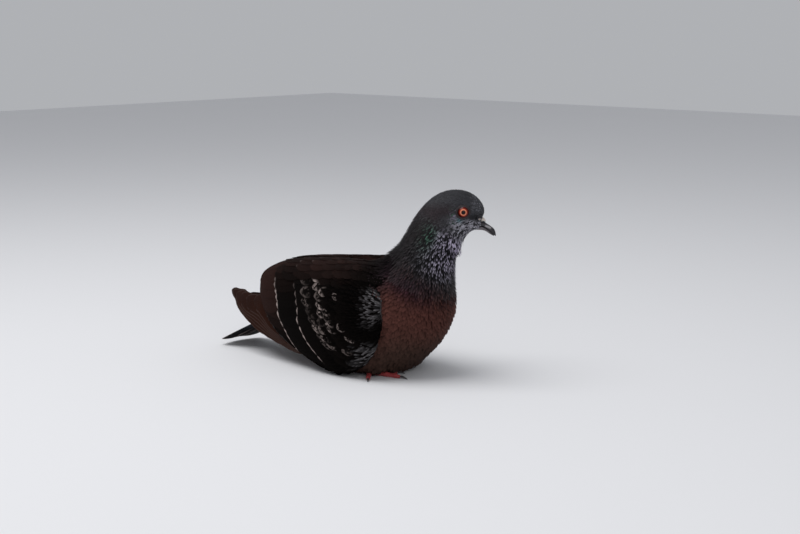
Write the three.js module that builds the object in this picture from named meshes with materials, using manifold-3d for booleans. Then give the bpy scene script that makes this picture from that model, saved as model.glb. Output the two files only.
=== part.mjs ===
// A feral pigeon of the dark, checkered kind, life size and still. It crouches with its belly
// on the floor, wings folded, tail held low behind, neck up and head turned to its left.
// Millimetres. +X runs forwards to the breast, +Y to the bird's left, +Z up, and the floor is
// at Z = 0. The origin is on the belly's flat patch, straight below the middle of the trunk.
import * as THREE from "three";
import { mergeVertices } from "three/addons/utils/BufferGeometryUtils.js";
import Module from "manifold-3d";

const wasm = await Module();
wasm.setup();

// ---------------------------------------------------------------- driving sizes
const GAP = 0.3; // clearance between neighbouring solids
const HEAD_TURN = 42; // degrees to the bird's left, about a vertical line in the neck
const NECK_AXIS_X = 31; // where that line stands
const BODY_SIDES = 24; // faces round the trunk, neck and head
const RINGS_PER_RIB = 2;
const BELLY_FLOOR = 0; // the belly is pressed flat at this height

const EYE = { x: 61.4, y: 7.9, z: 132.4, radius: 6 }; // before the head is turned
const TAIL = {
  root: [-90, 51],
  tip: [-186, 3.9],
  halfWidthRoot: 17,
  halfWidthTip: 22.5,
  halfThickRoot: 5,
  halfThickTip: 1.2,
  arch: 2.2, // how much lower the side feathers lie than the middle ones
};
// Where the ball of each foot stands under the belly. The left foot is set further back.
const FOOT = {
  right: { x: -8, y: -20 },
  left: { x: -33, y: 18 },
  shankTop: [-15, 3, 15], // from the ball of the foot: back, towards the midline and up
  shankRadius: 2.3,
};
const TOES = [
  // heading in degrees from straight ahead, plus towards the midline
  { name: "middle", heading: 8, length: 26, radius: 2.3, claw: 7 },
  { name: "inner", heading: 44, length: 19, radius: 2.1, claw: 6 },
  { name: "outer", heading: -50, length: 20, radius: 2.1, claw: 6 },
  { name: "hind", heading: 165, length: 11, radius: 1.9, claw: 5.5 },
];

// ---------------------------------------------------------------- materials
const finish = (color, roughness, metalness = 0) =>
  new THREE.MeshStandardMaterial({ color, roughness, metalness });
const FINISHES = {
  breast: finish(0x3a2623, 0.75),
  neck: finish(0x2b2d36, 0.5, 0.2),
  head: finish(0x33343a, 0.7),
  wing: finish(0x16130f, 0.6),
  quill: finish(0x2c201b, 0.6),
  tail: finish(0x2a2a2e, 0.6),
  bill: finish(0x1d1c1e, 0.4),
  cere: finish(0xcfc4bd, 0.8),
  iris: finish(0xc2502a, 0.15),
  leg: finish(0xa5343a, 0.6),
  claw: finish(0x1b191a, 0.4),
};

// ---------------------------------------------------------------- small helpers
const lerp = THREE.MathUtils.lerp;
const radians = THREE.MathUtils.degToRad;
const smooth = THREE.MathUtils.smoothstep;
const fullness = (value, power) => Math.sign(value) * Math.abs(value) ** (2 / power);

// A smooth curve through rows of up to three numbers, read at 0 to 1 from first row to last.
function through(rows) {
  const points = rows.map((r) => new THREE.Vector3(r[0], r[1] ?? 0, r[2] ?? 0));
  const curve = new THREE.CatmullRomCurve3(points, false, "centripetal");
  return (t) => curve.getPoint(THREE.MathUtils.clamp(t, 0, 1));
}

// A closed solid from rings of equal length, with a fan over each end.
function loft(rings) {
  const sides = rings[0].length;
  const middle = (ring) =>
    ring.reduce((sum, p) => sum.add(p), new THREE.Vector3()).divideScalar(ring.length);
  const points = [...rings.flat(), middle(rings[0]), middle(rings.at(-1))];
  const first = rings.length * sides;
  const index = [];
  for (let j = 0; j < sides; j++) {
    const k = (j + 1) % sides;
    for (let i = 0; i + 1 < rings.length; i++) {
      const [a, b] = [i * sides, (i + 1) * sides];
      index.push(a + j, a + k, b + j, a + k, b + k, b + j);
    }
    const last = (rings.length - 1) * sides;
    index.push(first, k, j, first + 1, last + j, last + k);
  }
  return new THREE.BufferGeometry().setFromPoints(points).setIndex(index);
}

// A manifold solid from a closed geometry, turned the right way out if it is inside out.
// With `grow`, its surface is moved out by that much, to cut the room that the solid needs.
function solid(geometry, grow = 0) {
  const bare = geometry.clone();
  bare.deleteAttribute("normal");
  bare.deleteAttribute("uv");
  const merged = mergeVertices(bare, 1e-4);
  const triVerts = new Uint32Array(merged.index.array);
  const make = () => {
    const vertProperties = new Float32Array(merged.attributes.position.array);
    return new wasm.Manifold(new wasm.Mesh({ numProp: 3, vertProperties, triVerts }));
  };
  if (make().volume() < 0) {
    for (let i = 0; i < triVerts.length; i += 3) {
      [triVerts[i], triVerts[i + 1]] = [triVerts[i + 1], triVerts[i]];
    }
    merged.setIndex(new THREE.BufferAttribute(triVerts, 1));
  }
  if (grow > 0) {
    merged.computeVertexNormals();
    const { position, normal } = merged.attributes;
    for (let i = 0; i < position.array.length; i++) {
      position.array[i] += grow * normal.array[i];
    }
  }
  return make();
}

// The largest body of a solid, without the slivers that a cut can leave beside it.
function largest(made) {
  return made.decompose().reduce((a, b) => (b.volume() > a.volume() ? b : a));
}

function meshOf(name, made, material) {
  const { vertProperties, triVerts } = largest(made).getMesh();
  const geometry = new THREE.BufferGeometry()
    .setAttribute("position", new THREE.BufferAttribute(vertProperties, 3))
    .setIndex(new THREE.BufferAttribute(triVerts, 1));
  geometry.computeVertexNormals();
  const mesh = new THREE.Mesh(geometry, material);
  mesh.name = name;
  return mesh;
}

// Turns a point of the straight head or neck about the neck's line, by a share of the whole turn.
function turned(point, share = 1) {
  const pivot = new THREE.Vector3(NECK_AXIS_X, 0, 0);
  const up = new THREE.Vector3(0, 0, 1);
  return point.sub(pivot).applyAxisAngle(up, radians(HEAD_TURN) * share).add(pivot);
}

const mirrored = (rings) => rings.map((ring) => ring.map((p) => p.clone().setY(-p.y)));

// ---------------------------------------------------------------- trunk, neck and head
// The body is a row of ribs. Each runs from the back line to the belly line, both given as
// [x, z], and is `half` wide to each side. `full` over 2 makes the section squarer.
const RIBS = [
  { at: "tail coverts", back: [-140, 31], belly: [-138, 23.5], half: 13.5, full: 2.4 },
  { at: "vent", back: [-119, 51], belly: [-112, 21.5], half: 21, full: 2.4 },
  { at: "rump", back: [-94, 68], belly: [-88, 12], half: 29, full: 2.7 },
  { at: "loin", back: [-62, 78], belly: [-62, 1.5], half: 36, full: 3 },
  { at: "back", back: [-34, 86], belly: [-32, -3.5], half: 40, full: 3 },
  { at: "shoulder", back: [-12, 90.5], belly: [3, -3], half: 41, full: 3 },
  { at: "keel", back: [-1, 94.5], belly: [17, 6.5], half: 40.5, full: 2.4 },
  { at: "breast", back: [3, 97.5], belly: [36, 21.5], half: 39, full: 2.1 },
  { at: "crop", back: [5.5, 100], belly: [49.5, 41], half: 36.5, full: 2 },
  { at: "neck base", back: [8, 102.5], belly: [54, 63], half: 31, full: 2 },
  { at: "low neck", back: [11, 106], belly: [56, 84], half: 25.5, full: 2 },
  { at: "mid neck", back: [15, 112], belly: [57.5, 98], half: 22, full: 2 },
  { at: "high neck", back: [20, 121], belly: [61, 107.5], half: 19, full: 2 },
  { at: "nape", back: [27, 132], belly: [64.5, 112], half: 16, full: 2 },
  { at: "hind head", back: [37.5, 142.8], belly: [67.6, 115.6], half: 13.6, full: 2 },
  { at: "crown", back: [49, 148.2], belly: [69.9, 116.6], half: 12.8, full: 2.1 },
  { at: "eyes", back: [61, 148.5], belly: [72, 117.1], half: 12.2, full: 2.1 },
  { at: "brow", back: [70.6, 144.6], belly: [73.6, 117.4], half: 10, full: 2 },
  { at: "forehead", back: [76.9, 137.6], belly: [74.6, 117.6], half: 7.4, full: 2 },
  { at: "lores", back: [78.3, 131], belly: [75.2, 117.9], half: 5.2, full: 2 },
  { at: "cere groove", back: [75.9, 126.6], belly: [75.4, 118.1], half: 4.2, full: 2 },
  { at: "bill root", back: [74.9, 123.6], belly: [75.2, 118.6], half: 3.3, full: 2 },
];
const placeOf = (name) => RIBS.findIndex((r) => r.at === name) / (RIBS.length - 1);
const backLine = through(RIBS.map((r) => [r.back[0], 0, r.back[1]]));
const bellyLine = through(RIBS.map((r) => [r.belly[0], 0, r.belly[1]]));
const ribShape = through(RIBS.map((r) => [r.half, r.full]));

// The neck starts to turn at its base, and the head has the whole turn.
const turnShare = (t) => smooth(t, placeOf("crop"), placeOf("nape"));

function bodyRing(t) {
  const [back, belly] = [backLine(t), bellyLine(t)];
  const { x: half, y: full } = ribShape(t);
  const centre = back.clone().add(belly).divideScalar(2);
  const spoke = back.clone().sub(centre);
  return Array.from({ length: BODY_SIDES }, (_, i) => {
    const angle = (2 * Math.PI * i) / BODY_SIDES;
    const point = centre.clone().addScaledVector(spoke, fullness(Math.cos(angle), full));
    point.y += half * fullness(Math.sin(angle), full);
    point.z = Math.max(point.z, BELLY_FLOOR);
    return turned(point, turnShare(t));
  });
}

const bodySteps = RINGS_PER_RIB * (RIBS.length - 1);
const bodyShape = loft(Array.from({ length: bodySteps + 1 }, (_, i) => bodyRing(i / bodySteps)));

// A cut through the body along the rib of that name: the sides before and after it.
function cutAt(name) {
  const t = placeOf(name);
  const [back, belly] = [backLine(t), bellyLine(t)].map((p) => turned(p, turnShare(t)));
  const along = belly.clone().sub(back);
  const across = new THREE.Vector3(0, 1, 0);
  across.applyAxisAngle(new THREE.Vector3(0, 0, 1), radians(HEAD_TURN) * turnShare(t));
  const normal = across.cross(along).normalize();
  if (normal.z < 0) normal.negate();
  const offset = normal.dot(back);
  return {
    before: (made) => made.trimByPlane(normal.clone().negate().toArray(), -offset + GAP / 2),
    after: (made) => made.trimByPlane(normal.toArray(), offset + GAP / 2),
  };
}

// ---------------------------------------------------------------- wings
// The covered part of a folded wing, from its bend at the breast to the tips of the inner
// flight feathers. Each row is a station along the body. As [out from the midline, up], it
// has the inner edge on the back, the widest place on the flank and the lower free edge.
const WING = [
  { x: 24, top: [38.5, 66], side: [40.3, 54], edge: [40, 42], thick: 2 },
  { x: 20, top: [34, 74], side: [42.8, 51], edge: [40.5, 26], thick: 8 },
  { x: 9, top: [27, 84], side: [46.4, 47], edge: [40, 13], thick: 12 },
  { x: -8, top: [16, 90], side: [49.4, 44], edge: [39, 3.5], thick: 14 },
  { x: -30, top: [8, 90], side: [50, 42], edge: [40, 0.8], thick: 14 },
  { x: -55, top: [3, 88.5], side: [47.5, 42], edge: [39.5, 7.5], thick: 12 },
  { x: -82, top: [1, 86], side: [42, 44], edge: [38.5, 17], thick: 10 },
  { x: -106, top: [1, 82.5], side: [35.5, 48], edge: [34, 28], thick: 10 },
  { x: -123, top: [1.5, 78], side: [28.5, 53], edge: [27.8, 43], thick: 8 },
  { x: -131, top: [7, 72], side: [23, 59], edge: [22.5, 54.5], thick: 5 },
];
const WING_RINGS = 19;
const WING_OUTER_POINTS = 13;
const WING_INNER_POINTS = 7;
const WING_FULL = 2.3;
const wingCurve = (key) => through(WING.map((r) => [r.x, -r[key][0], r[key][1]]));
const [wingTop, wingSide, wingEdge] = ["top", "side", "edge"].map(wingCurve);
const wingThick = through(WING.map((r) => [r.thick]));

function wingRing(t) {
  const [top, side, edge] = [wingTop(t), wingSide(t), wingEdge(t)];
  // Down the outside from the top edge (share 0) past the widest place to the free edge (1).
  const onSkin = (share, depth) => {
    const upper = share < 0.5;
    const end = upper ? top : edge;
    const angle = Math.PI * Math.abs(share - 0.5);
    const point = side.clone();
    point.y = lerp(end.y, side.y, fullness(Math.cos(angle), WING_FULL));
    point.z = lerp(side.z, end.z, fullness(Math.sin(angle), WING_FULL));
    const inwards = new THREE.Vector3(0, Math.cos(angle), (upper ? -1 : 1) * Math.sin(angle));
    return point.addScaledVector(inwards, depth);
  };
  const thick = (share) => Math.max(0.9, wingThick(t).x * Math.sin(Math.PI * share) ** 0.6);
  const outer = Array.from({ length: WING_OUTER_POINTS }, (_, i) =>
    onSkin(i / (WING_OUTER_POINTS - 1), 0),
  );
  const inner = Array.from({ length: WING_INNER_POINTS }, (_, i) => {
    const share = 1 - i / (WING_INNER_POINTS - 1);
    return onSkin(share, thick(share));
  });
  return [...outer, ...inner];
}

const wingRings = Array.from({ length: WING_RINGS }, (_, i) => wingRing(i / (WING_RINGS - 1)));

// The long outer flight feathers, closed to one blade that comes out from under the wing.
// Each row is a station: the blade's upper and lower edges as [y, z], and its thickness.
const BLADE = [
  { x: -66, upper: [-37, 38], lower: [-41, 9], thick: 4 },
  { x: -95, upper: [-30, 48], lower: [-37, 14.5], thick: 4 },
  { x: -125, upper: [-22.5, 51.5], lower: [-31, 21], thick: 3.4 },
  { x: -150, upper: [-16.5, 51.5], lower: [-24, 30], thick: 2.6 },
  { x: -168, upper: [-12.5, 51.2], lower: [-17, 40], thick: 2 },
  { x: -176.5, upper: [-11, 50], lower: [-13, 45], thick: 1.4 },
  { x: -179.5, upper: [-10.6, 48.2], lower: [-11, 46.8], thick: 0.8 },
];
const BLADE_RINGS = 12;
const BLADE_SIDES = 10;
const bladeUpper = through(BLADE.map((r) => [r.x, ...r.upper]));
const bladeLower = through(BLADE.map((r) => [r.x, ...r.lower]));
const bladeThick = through(BLADE.map((r) => [r.thick]));

const bladeRings = Array.from({ length: BLADE_RINGS }, (_, i) => {
  const t = i / (BLADE_RINGS - 1);
  const [upper, lower] = [bladeUpper(t), bladeLower(t)];
  const centre = upper.clone().add(lower).divideScalar(2);
  const spoke = upper.clone().sub(centre);
  const out = new THREE.Vector3(1, 0, 0).cross(spoke).normalize();
  const halfThick = bladeThick(t).x / 2;
  return Array.from({ length: BLADE_SIDES }, (_, j) => {
    const angle = (2 * Math.PI * j) / BLADE_SIDES;
    return centre
      .clone()
      .addScaledVector(spoke, Math.cos(angle))
      .addScaledVector(out, halfThick * Math.sin(angle));
  });
});

// ---------------------------------------------------------------- tail
const TAIL_RINGS = 10;
const TAIL_SIDES = 18;
const TAIL_ROUNDED = 0.1; // the share of its length over which the end is rounded

const tailRings = Array.from({ length: TAIL_RINGS }, (_, i) => {
  const t = Math.sin((Math.PI / 2) * (i / (TAIL_RINGS - 1)));
  const [x, z] = [0, 1].map((k) => lerp(TAIL.root[k], TAIL.tip[k], t));
  const pastCorner = Math.max(0, (t - 1 + TAIL_ROUNDED) / TAIL_ROUNDED);
  const corner = lerp(1, 0.62, 1 - Math.sqrt(1 - pastCorner ** 2));
  const half = lerp(TAIL.halfWidthRoot, TAIL.halfWidthTip, t) * corner;
  const halfThick = lerp(TAIL.halfThickRoot, TAIL.halfThickTip, t);
  return Array.from({ length: TAIL_SIDES }, (_, j) => {
    const angle = (2 * Math.PI * j) / TAIL_SIDES;
    const y = half * fullness(Math.cos(angle), 2.4);
    const droop = TAIL.arch * (y / TAIL.halfWidthTip) ** 2;
    return new THREE.Vector3(x, y, z - droop + halfThick * fullness(Math.sin(angle), 2.4));
  });
});

// ---------------------------------------------------------------- bill and eyes
// Each row is a rib of the bill before the head is turned: [x, z] above and below, half width.
const UPPER_BILL = [
  { above: [70.5, 126.2], below: [70.5, 122.5], half: 3.6 },
  { above: [76.5, 124.8], below: [74.2, 121.6], half: 3.4 },
  { above: [80.5, 121.9], below: [78.4, 118.9], half: 2.7 },
  { above: [84.2, 119.5], below: [82.1, 115.9], half: 2.2 },
  { above: [86.5, 116.9], below: [85.1, 113.8], half: 1.5 },
  { above: [87.4, 112.7], below: [86.9, 112.2], half: 0.5 },
];
const LOWER_BILL = [
  { above: [70.5, 122], below: [70.5, 117.4], half: 3.3 },
  { above: [74.4, 121.1], below: [75.2, 117.2], half: 3.1 },
  { above: [78.3, 118.3], below: [78.7, 116.4], half: 2.5 },
  { above: [81.8, 115.4], below: [81.5, 114.4], half: 1.8 },
  { above: [84.2, 113.7], below: [84, 113], half: 0.9 },
];
const BILL_SIDES = 12;
const BILL_RINGS = 9;

function billShape(rows) {
  const above = through(rows.map((r) => [r.above[0], 0, r.above[1]]));
  const below = through(rows.map((r) => [r.below[0], 0, r.below[1]]));
  const width = through(rows.map((r) => [r.half]));
  const rings = Array.from({ length: BILL_RINGS }, (_, i) => {
    const t = i / (BILL_RINGS - 1);
    const centre = above(t).add(below(t)).divideScalar(2);
    const spoke = above(t).sub(centre);
    return Array.from({ length: BILL_SIDES }, (_, j) => {
      const angle = (2 * Math.PI * j) / BILL_SIDES;
      const point = centre.clone().addScaledVector(spoke, Math.cos(angle));
      point.y += width(t).x * Math.sin(angle);
      return turned(point);
    });
  });
  return loft(rings);
}

// A round body of the head, placed before the head is turned and then turned with it.
function headBall(x, y, z, radii, tilt, detail) {
  const geometry = new THREE.SphereGeometry(1, ...detail);
  geometry.scale(...radii).rotateY(radians(tilt)).translate(x, y, z);
  const pivot = [NECK_AXIS_X, 0, 0];
  geometry.translate(...pivot.map((p) => -p));
  return geometry.rotateZ(radians(HEAD_TURN)).translate(...pivot);
}

// The cere: two soft white swellings over the nostrils, side by side.
const CERE = { x: 76, y: 2.4, z: 125.2, radii: [4.1, 2.4, 2.1], tilt: 32 };
const cereSolid = (grow) =>
  [-1, 1]
    .map((side) => headBall(CERE.x, side * CERE.y, CERE.z, CERE.radii, CERE.tilt, [10, 6]))
    .map((geometry) => solid(geometry, grow))
    .reduce((a, b) => a.add(b));

const eyeShape = (side) =>
  headBall(EYE.x, side * EYE.y, EYE.z, Array(3).fill(EYE.radius), 0, [12, 9]);

// ---------------------------------------------------------------- legs
// A round limb along a smooth line of points, tapering between the radii given at its points.
// What would reach under the floor is pressed flat on it.
function limbShape(rows, sides, rings) {
  const line = through(rows.map((r) => r.slice(0, 3)));
  const radius = through(rows.map((r) => [r[3]]));
  const made = Array.from({ length: rings }, (_, i) => {
    const t = i / (rings - 1);
    const centre = line(t);
    const ahead = line(t + 0.02).sub(line(t - 0.02)).normalize();
    const side = new THREE.Vector3(0, 0, 1).cross(ahead).normalize();
    const up = ahead.clone().cross(side);
    return Array.from({ length: sides }, (_, j) => {
      const angle = (2 * Math.PI * j) / sides;
      const point = centre
        .clone()
        .addScaledVector(side, radius(t).x * Math.cos(angle))
        .addScaledVector(up, radius(t).x * Math.sin(angle));
      point.z = Math.max(point.z, 0);
      return point;
    });
  });
  return loft(made);
}

// The toe runs out level from the foot, low enough that its pads are flat on the floor, and
// thickens at each joint. Its claw starts just past it and curves down to the floor. The room
// is the plainer shape that the belly leaves free round both.
function toeShapes(ball, toe) {
  const heading = radians(toe.heading);
  const out = new THREE.Vector3(Math.cos(heading), -Math.sign(ball.y) * Math.sin(heading), 0);
  const foot = new THREE.Vector3(ball.x, ball.y, 0);
  const at = (distance, height, radius) => {
    const p = foot.clone().addScaledVector(out, distance);
    return [p.x, p.y, height, radius];
  };
  const r = toe.radius;
  const start = FOOT.shankRadius + GAP + 0.5;
  const end = start + toe.length;
  const joint = (share) => lerp(start, end, share);
  const toeRows = [
    at(start, 0.85 * r, 0.92 * r),
    at(joint(0.2), 0.85 * r, r),
    at(joint(0.36), 0.8 * r, 0.84 * r),
    at(joint(0.52), 0.82 * r, 0.96 * r),
    at(joint(0.68), 0.74 * r, 0.78 * r),
    at(joint(0.84), 0.74 * r, 0.86 * r),
    at(end, 0.66 * r, 0.6 * r),
  ];
  const clawRows = [
    at(end + GAP, 0.78 * r, 0.56 * r),
    at(end + 0.4 * toe.claw, 0.78 * r, 0.42 * r),
    at(end + 0.75 * toe.claw, 0.45 * r, 0.27 * r),
    at(end + toe.claw, 0.25, 0.25),
  ];
  const roomRows = [
    at(0, 0.85 * r, 1.2 * r + GAP),
    at(end, 0.75 * r, 1.05 * r + GAP),
    at(end + toe.claw + GAP, 0.5 * r, 0.6 * r + GAP),
  ];
  return {
    toe: limbShape(toeRows, 8, toeRows.length),
    claw: limbShape(clawRows, 6, clawRows.length),
    room: limbShape(roomRows, 6, roomRows.length),
  };
}

// The shank comes down and forwards out of the belly feathers to the ball of the foot.
function shankShape(ball) {
  const [back, inwards, up] = FOOT.shankTop;
  const r = FOOT.shankRadius;
  const at = (share, z, radius) => {
    const y = ball.y - Math.sign(ball.y) * share * inwards;
    return [ball.x + share * back, y, z, radius];
  };
  const rows = [at(1, up, 1.05 * r), at(0.5, 0.55 * up, r)];
  rows.push(at(0.1, 2.6, 1.12 * r), at(-0.06, 2, 0.7 * r));
  return limbShape(rows, 8, 6);
}

// ---------------------------------------------------------------- the bird
const bird = new THREE.Group();
const body = solid(bodyShape);
const bodyRoom = solid(bodyShape, GAP);
const sides = [
  { name: "right", sign: -1 },
  { name: "left", sign: 1 },
];

// Legs come first, because the belly leaves room for them.
const footRoom = (ball) =>
  TOES.map((toe) => solid(toeShapes(ball, toe).room)).reduce((a, b) => a.add(b));
const legRoom = [FOOT.right, FOOT.left]
  .map((ball) => solid(shankShape(ball), GAP).add(footRoom(ball)))
  .reduce((a, b) => a.add(b));
for (const { name } of sides) {
  const ball = FOOT[name];
  bird.add(meshOf(`leg_${name}`, solid(shankShape(ball)), FINISHES.leg));
  let taken = solid(shankShape(ball), GAP);
  for (const toe of TOES) {
    const shapes = toeShapes(ball, toe);
    const toeRoom = solid(shapes.toe, GAP);
    const claw = solid(shapes.claw).subtract(toeRoom);
    bird.add(meshOf(`toe_${toe.name}_${name}`, solid(shapes.toe).subtract(taken), FINISHES.leg));
    bird.add(meshOf(`claw_${toe.name}_${name}`, claw, FINISHES.claw));
    taken = taken.add(toeRoom);
  }
}

const neckCut = cutAt("neck base");
const headCut = cutAt("nape");
const eyeRoom = solid(eyeShape(-1), GAP).add(solid(eyeShape(1), GAP));
bird.add(meshOf("trunk", neckCut.before(body).subtract(legRoom), FINISHES.breast));
bird.add(meshOf("neck", headCut.before(neckCut.after(body)), FINISHES.neck));
bird.add(meshOf("head", headCut.after(body).subtract(eyeRoom), FINISHES.head));

const [upperBill, lowerBill] = [UPPER_BILL, LOWER_BILL].map(billShape);
const bill = solid(upperBill).subtract(bodyRoom).subtract(cereSolid(GAP));
const underBill = solid(lowerBill).subtract(bodyRoom).subtract(solid(upperBill, GAP));
bird.add(meshOf("cere", cereSolid(0).subtract(bodyRoom), FINISHES.cere));
bird.add(meshOf("bill_upper", bill, FINISHES.bill));
bird.add(meshOf("bill_lower", underBill.subtract(cereSolid(GAP)), FINISHES.bill));

for (const { name, sign } of sides) {
  bird.add(meshOf(`eye_${name}`, solid(eyeShape(sign)), FINISHES.iris));
  const [wingShape, bladeShape] = [wingRings, bladeRings].map((rings) =>
    loft(sign < 0 ? rings : mirrored(rings)),
  );
  const wing = solid(wingShape).subtract(bodyRoom).subtract(legRoom);
  const blade = solid(bladeShape).subtract(solid(wingShape, GAP)).subtract(bodyRoom);
  bird.add(meshOf(`wing_${name}`, wing, FINISHES.wing));
  bird.add(meshOf(`wing_tip_${name}`, blade, FINISHES.quill));
}
bird.add(meshOf("tail", solid(loft(tailRings)).subtract(bodyRoom), FINISHES.tail));

export default bird;
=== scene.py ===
# %% [markdown]
# # A pigeon at rest, life size
# This lesson dresses the plain solids of a pigeon as a museum would mount one: a skin, a coat of
# separate feathers laid over it, flight feathers, a horn bill, wet eyes and scaled feet.
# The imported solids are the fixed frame. +X runs to the breast, +Y to the bird's left, +Z is up,
# the floor is at Z = 0 and every size is in metres, so sizes in millimetres are times MM.

# %% The frame
import math

import bmesh
import bpy
import numpy as np
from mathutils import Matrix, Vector, kdtree
from mathutils.bvhtree import BVHTree


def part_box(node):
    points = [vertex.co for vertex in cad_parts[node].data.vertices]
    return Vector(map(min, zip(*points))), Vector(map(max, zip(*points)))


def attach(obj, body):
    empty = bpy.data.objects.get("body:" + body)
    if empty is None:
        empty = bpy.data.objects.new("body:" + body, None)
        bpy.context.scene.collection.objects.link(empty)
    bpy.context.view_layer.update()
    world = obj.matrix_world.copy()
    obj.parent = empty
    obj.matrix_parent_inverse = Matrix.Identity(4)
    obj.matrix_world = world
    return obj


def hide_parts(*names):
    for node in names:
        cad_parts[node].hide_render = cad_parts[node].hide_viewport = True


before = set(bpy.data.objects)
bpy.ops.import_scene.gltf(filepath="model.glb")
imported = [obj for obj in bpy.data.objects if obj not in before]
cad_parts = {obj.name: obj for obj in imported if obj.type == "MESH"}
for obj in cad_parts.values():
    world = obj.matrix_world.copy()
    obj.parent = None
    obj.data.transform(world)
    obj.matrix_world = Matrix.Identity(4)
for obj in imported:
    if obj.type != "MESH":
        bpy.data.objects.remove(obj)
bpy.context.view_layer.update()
MM = 0.001
DRAWS = np.random.default_rng(7)
bpy.context.scene.view_settings.view_transform = "Standard"

# %% [markdown]
# ## Camera
# The camera looks at the bird's right side from a little ahead and from just above its back.
# A long lens keeps the body's proportions true, and the bird takes up a third of the picture.

# %% Camera
CAMERA_PLACE = (0.8759, -0.9656, 0.2903)
CAMERA_TURN = 42
CAMERA_DOWN = 8.966
bpy.ops.object.camera_add(
    location=CAMERA_PLACE,
    rotation=(math.radians(90 - CAMERA_DOWN), 0, math.radians(CAMERA_TURN)),
)
camera = bpy.context.object
camera.name = "camera"
camera.data.lens = 75.0
camera.data.sensor_width = 36.0
camera.data.clip_start = 0.05
bpy.context.scene.camera = camera

# %% [markdown]
# ## Small helpers
# Objects are picked in code, so nothing may be left selected by accident. A colour is written as
# the sRGB hex value that a paint chart gives, and turned into the linear value that light needs.

# %% Helpers for objects
FLOOR_ROOM = 0.8 * MM  # this near the floor, shapes start to flatten against it


def pick(*objects):
    """Selects only these objects, and makes the first of them active."""
    bpy.ops.object.select_all(action="DESELECT")
    for each in objects:
        each.select_set(True)
    bpy.context.view_layer.objects.active = objects[0]


def edit(made, step, **settings):
    """Runs one edit-mode operator over a whole mesh."""
    pick(made)
    bpy.ops.object.mode_set(mode="EDIT")
    bpy.ops.mesh.select_all(action="SELECT")
    step(**settings)
    bpy.ops.object.mode_set(mode="OBJECT")


def copy_of(name, *node_names):
    """A new object with the merged meshes of these CAD nodes, which are themselves left alone."""
    copies = []
    for node_name in node_names:
        copies.append(bpy.data.objects.new(name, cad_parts[node_name].data.copy()))
        bpy.context.scene.collection.objects.link(copies[-1])
        copies[-1].data.materials.clear()
    pick(*copies)
    if len(copies) > 1:
        bpy.ops.object.join()
    made = bpy.context.object
    made.name = made.data.name = name
    edit(made, bpy.ops.mesh.remove_doubles, threshold=0.002 * MM)
    return made


def apply(made, kind, **settings):
    """Adds a modifier with these settings and applies it."""
    pick(made)
    modifier = made.modifiers.new(kind.lower(), kind)
    for key, value in settings.items():
        setattr(modifier, key, value)
    bpy.ops.object.modifier_apply(modifier=modifier.name)


def soften(made):
    """Shades an object smooth."""
    pick(made)
    bpy.ops.object.shade_smooth()
    return made


def points_of(made):
    """The places of a mesh's points, as an array."""
    places = np.empty(3 * len(made.data.vertices))
    made.data.vertices.foreach_get("co", places)
    return places.reshape(-1, 3)


def normals_of(made):
    """The smooth normals at a mesh's points, as an array."""
    normals = np.empty(3 * len(made.data.vertices))
    made.data.vertex_normals.foreach_get("vector", normals)
    return normals.reshape(-1, 3)


def move_points(made, places):
    """Moves all points of a mesh to these places."""
    made.data.vertices.foreach_set("co", places.ravel())
    made.data.update()


def above_floor(places):
    """Presses whatever would reach through the floor flat against it, in the same order."""
    over = np.minimum(places[..., 2] - FLOOR_ROOM, 0)
    places = places.copy()
    places[..., 2] += FLOOR_ROOM * np.exp(over / FLOOR_ROOM) - FLOOR_ROOM - over
    return places


def linear(hex_value):
    """An sRGB hex colour as the linear red, green and blue that shaders work in."""
    parts = [int(hex_value[i : i + 2], 16) / 255 for i in (0, 2, 4)]
    return np.array([p / 12.92 if p <= 0.04045 else ((p + 0.055) / 1.055) ** 2.4 for p in parts])


def unit(vectors):
    """Vectors scaled to length one."""
    return vectors / np.maximum(np.linalg.norm(vectors, axis=-1, keepdims=True), 1e-12)


def smooth(value, low, high):
    """0 up to low, 1 from high, and a smooth ramp between."""
    share = np.clip((value - low) / (high - low), 0, 1)
    return share * share * (3 - 2 * share)


# %% [markdown]
# A surface is a mesh that feathers lie on. It answers two questions for many places at once:
# which point of it is nearest, and which way it faces there.

# %% Surfaces


class Surface:
    """A mesh's faces in a search tree, with the way each one faces."""

    def __init__(self, made):
        self.points = points_of(made)
        self.faces = [tuple(f.vertices) for f in made.data.polygons]
        self.tree = BVHTree.FromPolygons(self.points.tolist(), self.faces)
        normals = normals_of(made)
        self.facing = unit(np.array([normals[list(f)].mean(0) for f in self.faces]))

    def nearest(self, places):
        """The nearest point of the surface to each place, its facing and its face's number."""
        hits = [self.tree.find_nearest(Vector(p)) for p in places]
        index = np.array([h[2] for h in hits])
        return np.array([h[0] for h in hits]), self.facing[index], index

    def distance(self, places):
        """How far each place is from the surface."""
        return np.array([self.tree.find_nearest(Vector(p))[3] for p in places])

    def struck(self, start, heading):
        """Where a ray first meets the surface, and its facing there, or None."""
        place, _, index, _ = self.tree.ray_cast(Vector(start), Vector(heading))
        return None if place is None else (np.array(place), self.facing[index])


# %% [markdown]
# ## The line that the coat follows
# Contour feathers point from the bill to the tail. One smooth line through the middle of the
# head, neck and trunk gives that direction everywhere: a feather lies along the line's heading,
# laid flat on the body. How far a place is along the line also says which feathers grow there.

# %% The body line
BODY_LINE = {
    "bill": (63.7, 29.4, 121),
    "brow": (59, 25.3, 128.5),
    "crown": (52.5, 19.3, 131),
    "hind head": (46.5, 13.5, 127),
    "nape": (42.5, 9, 119),
    "high neck": (39.5, 5, 110),
    "low neck": (35, 1, 95),
    "crop": (27, 0, 74),
    "keel": (8, 0, 55),
    "back": (-25, 0, 44),
    "rump": (-80, 0, 40),
    "vent": (-112, 0, 35),
    "tail": (-140, 0, 26),
}


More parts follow.
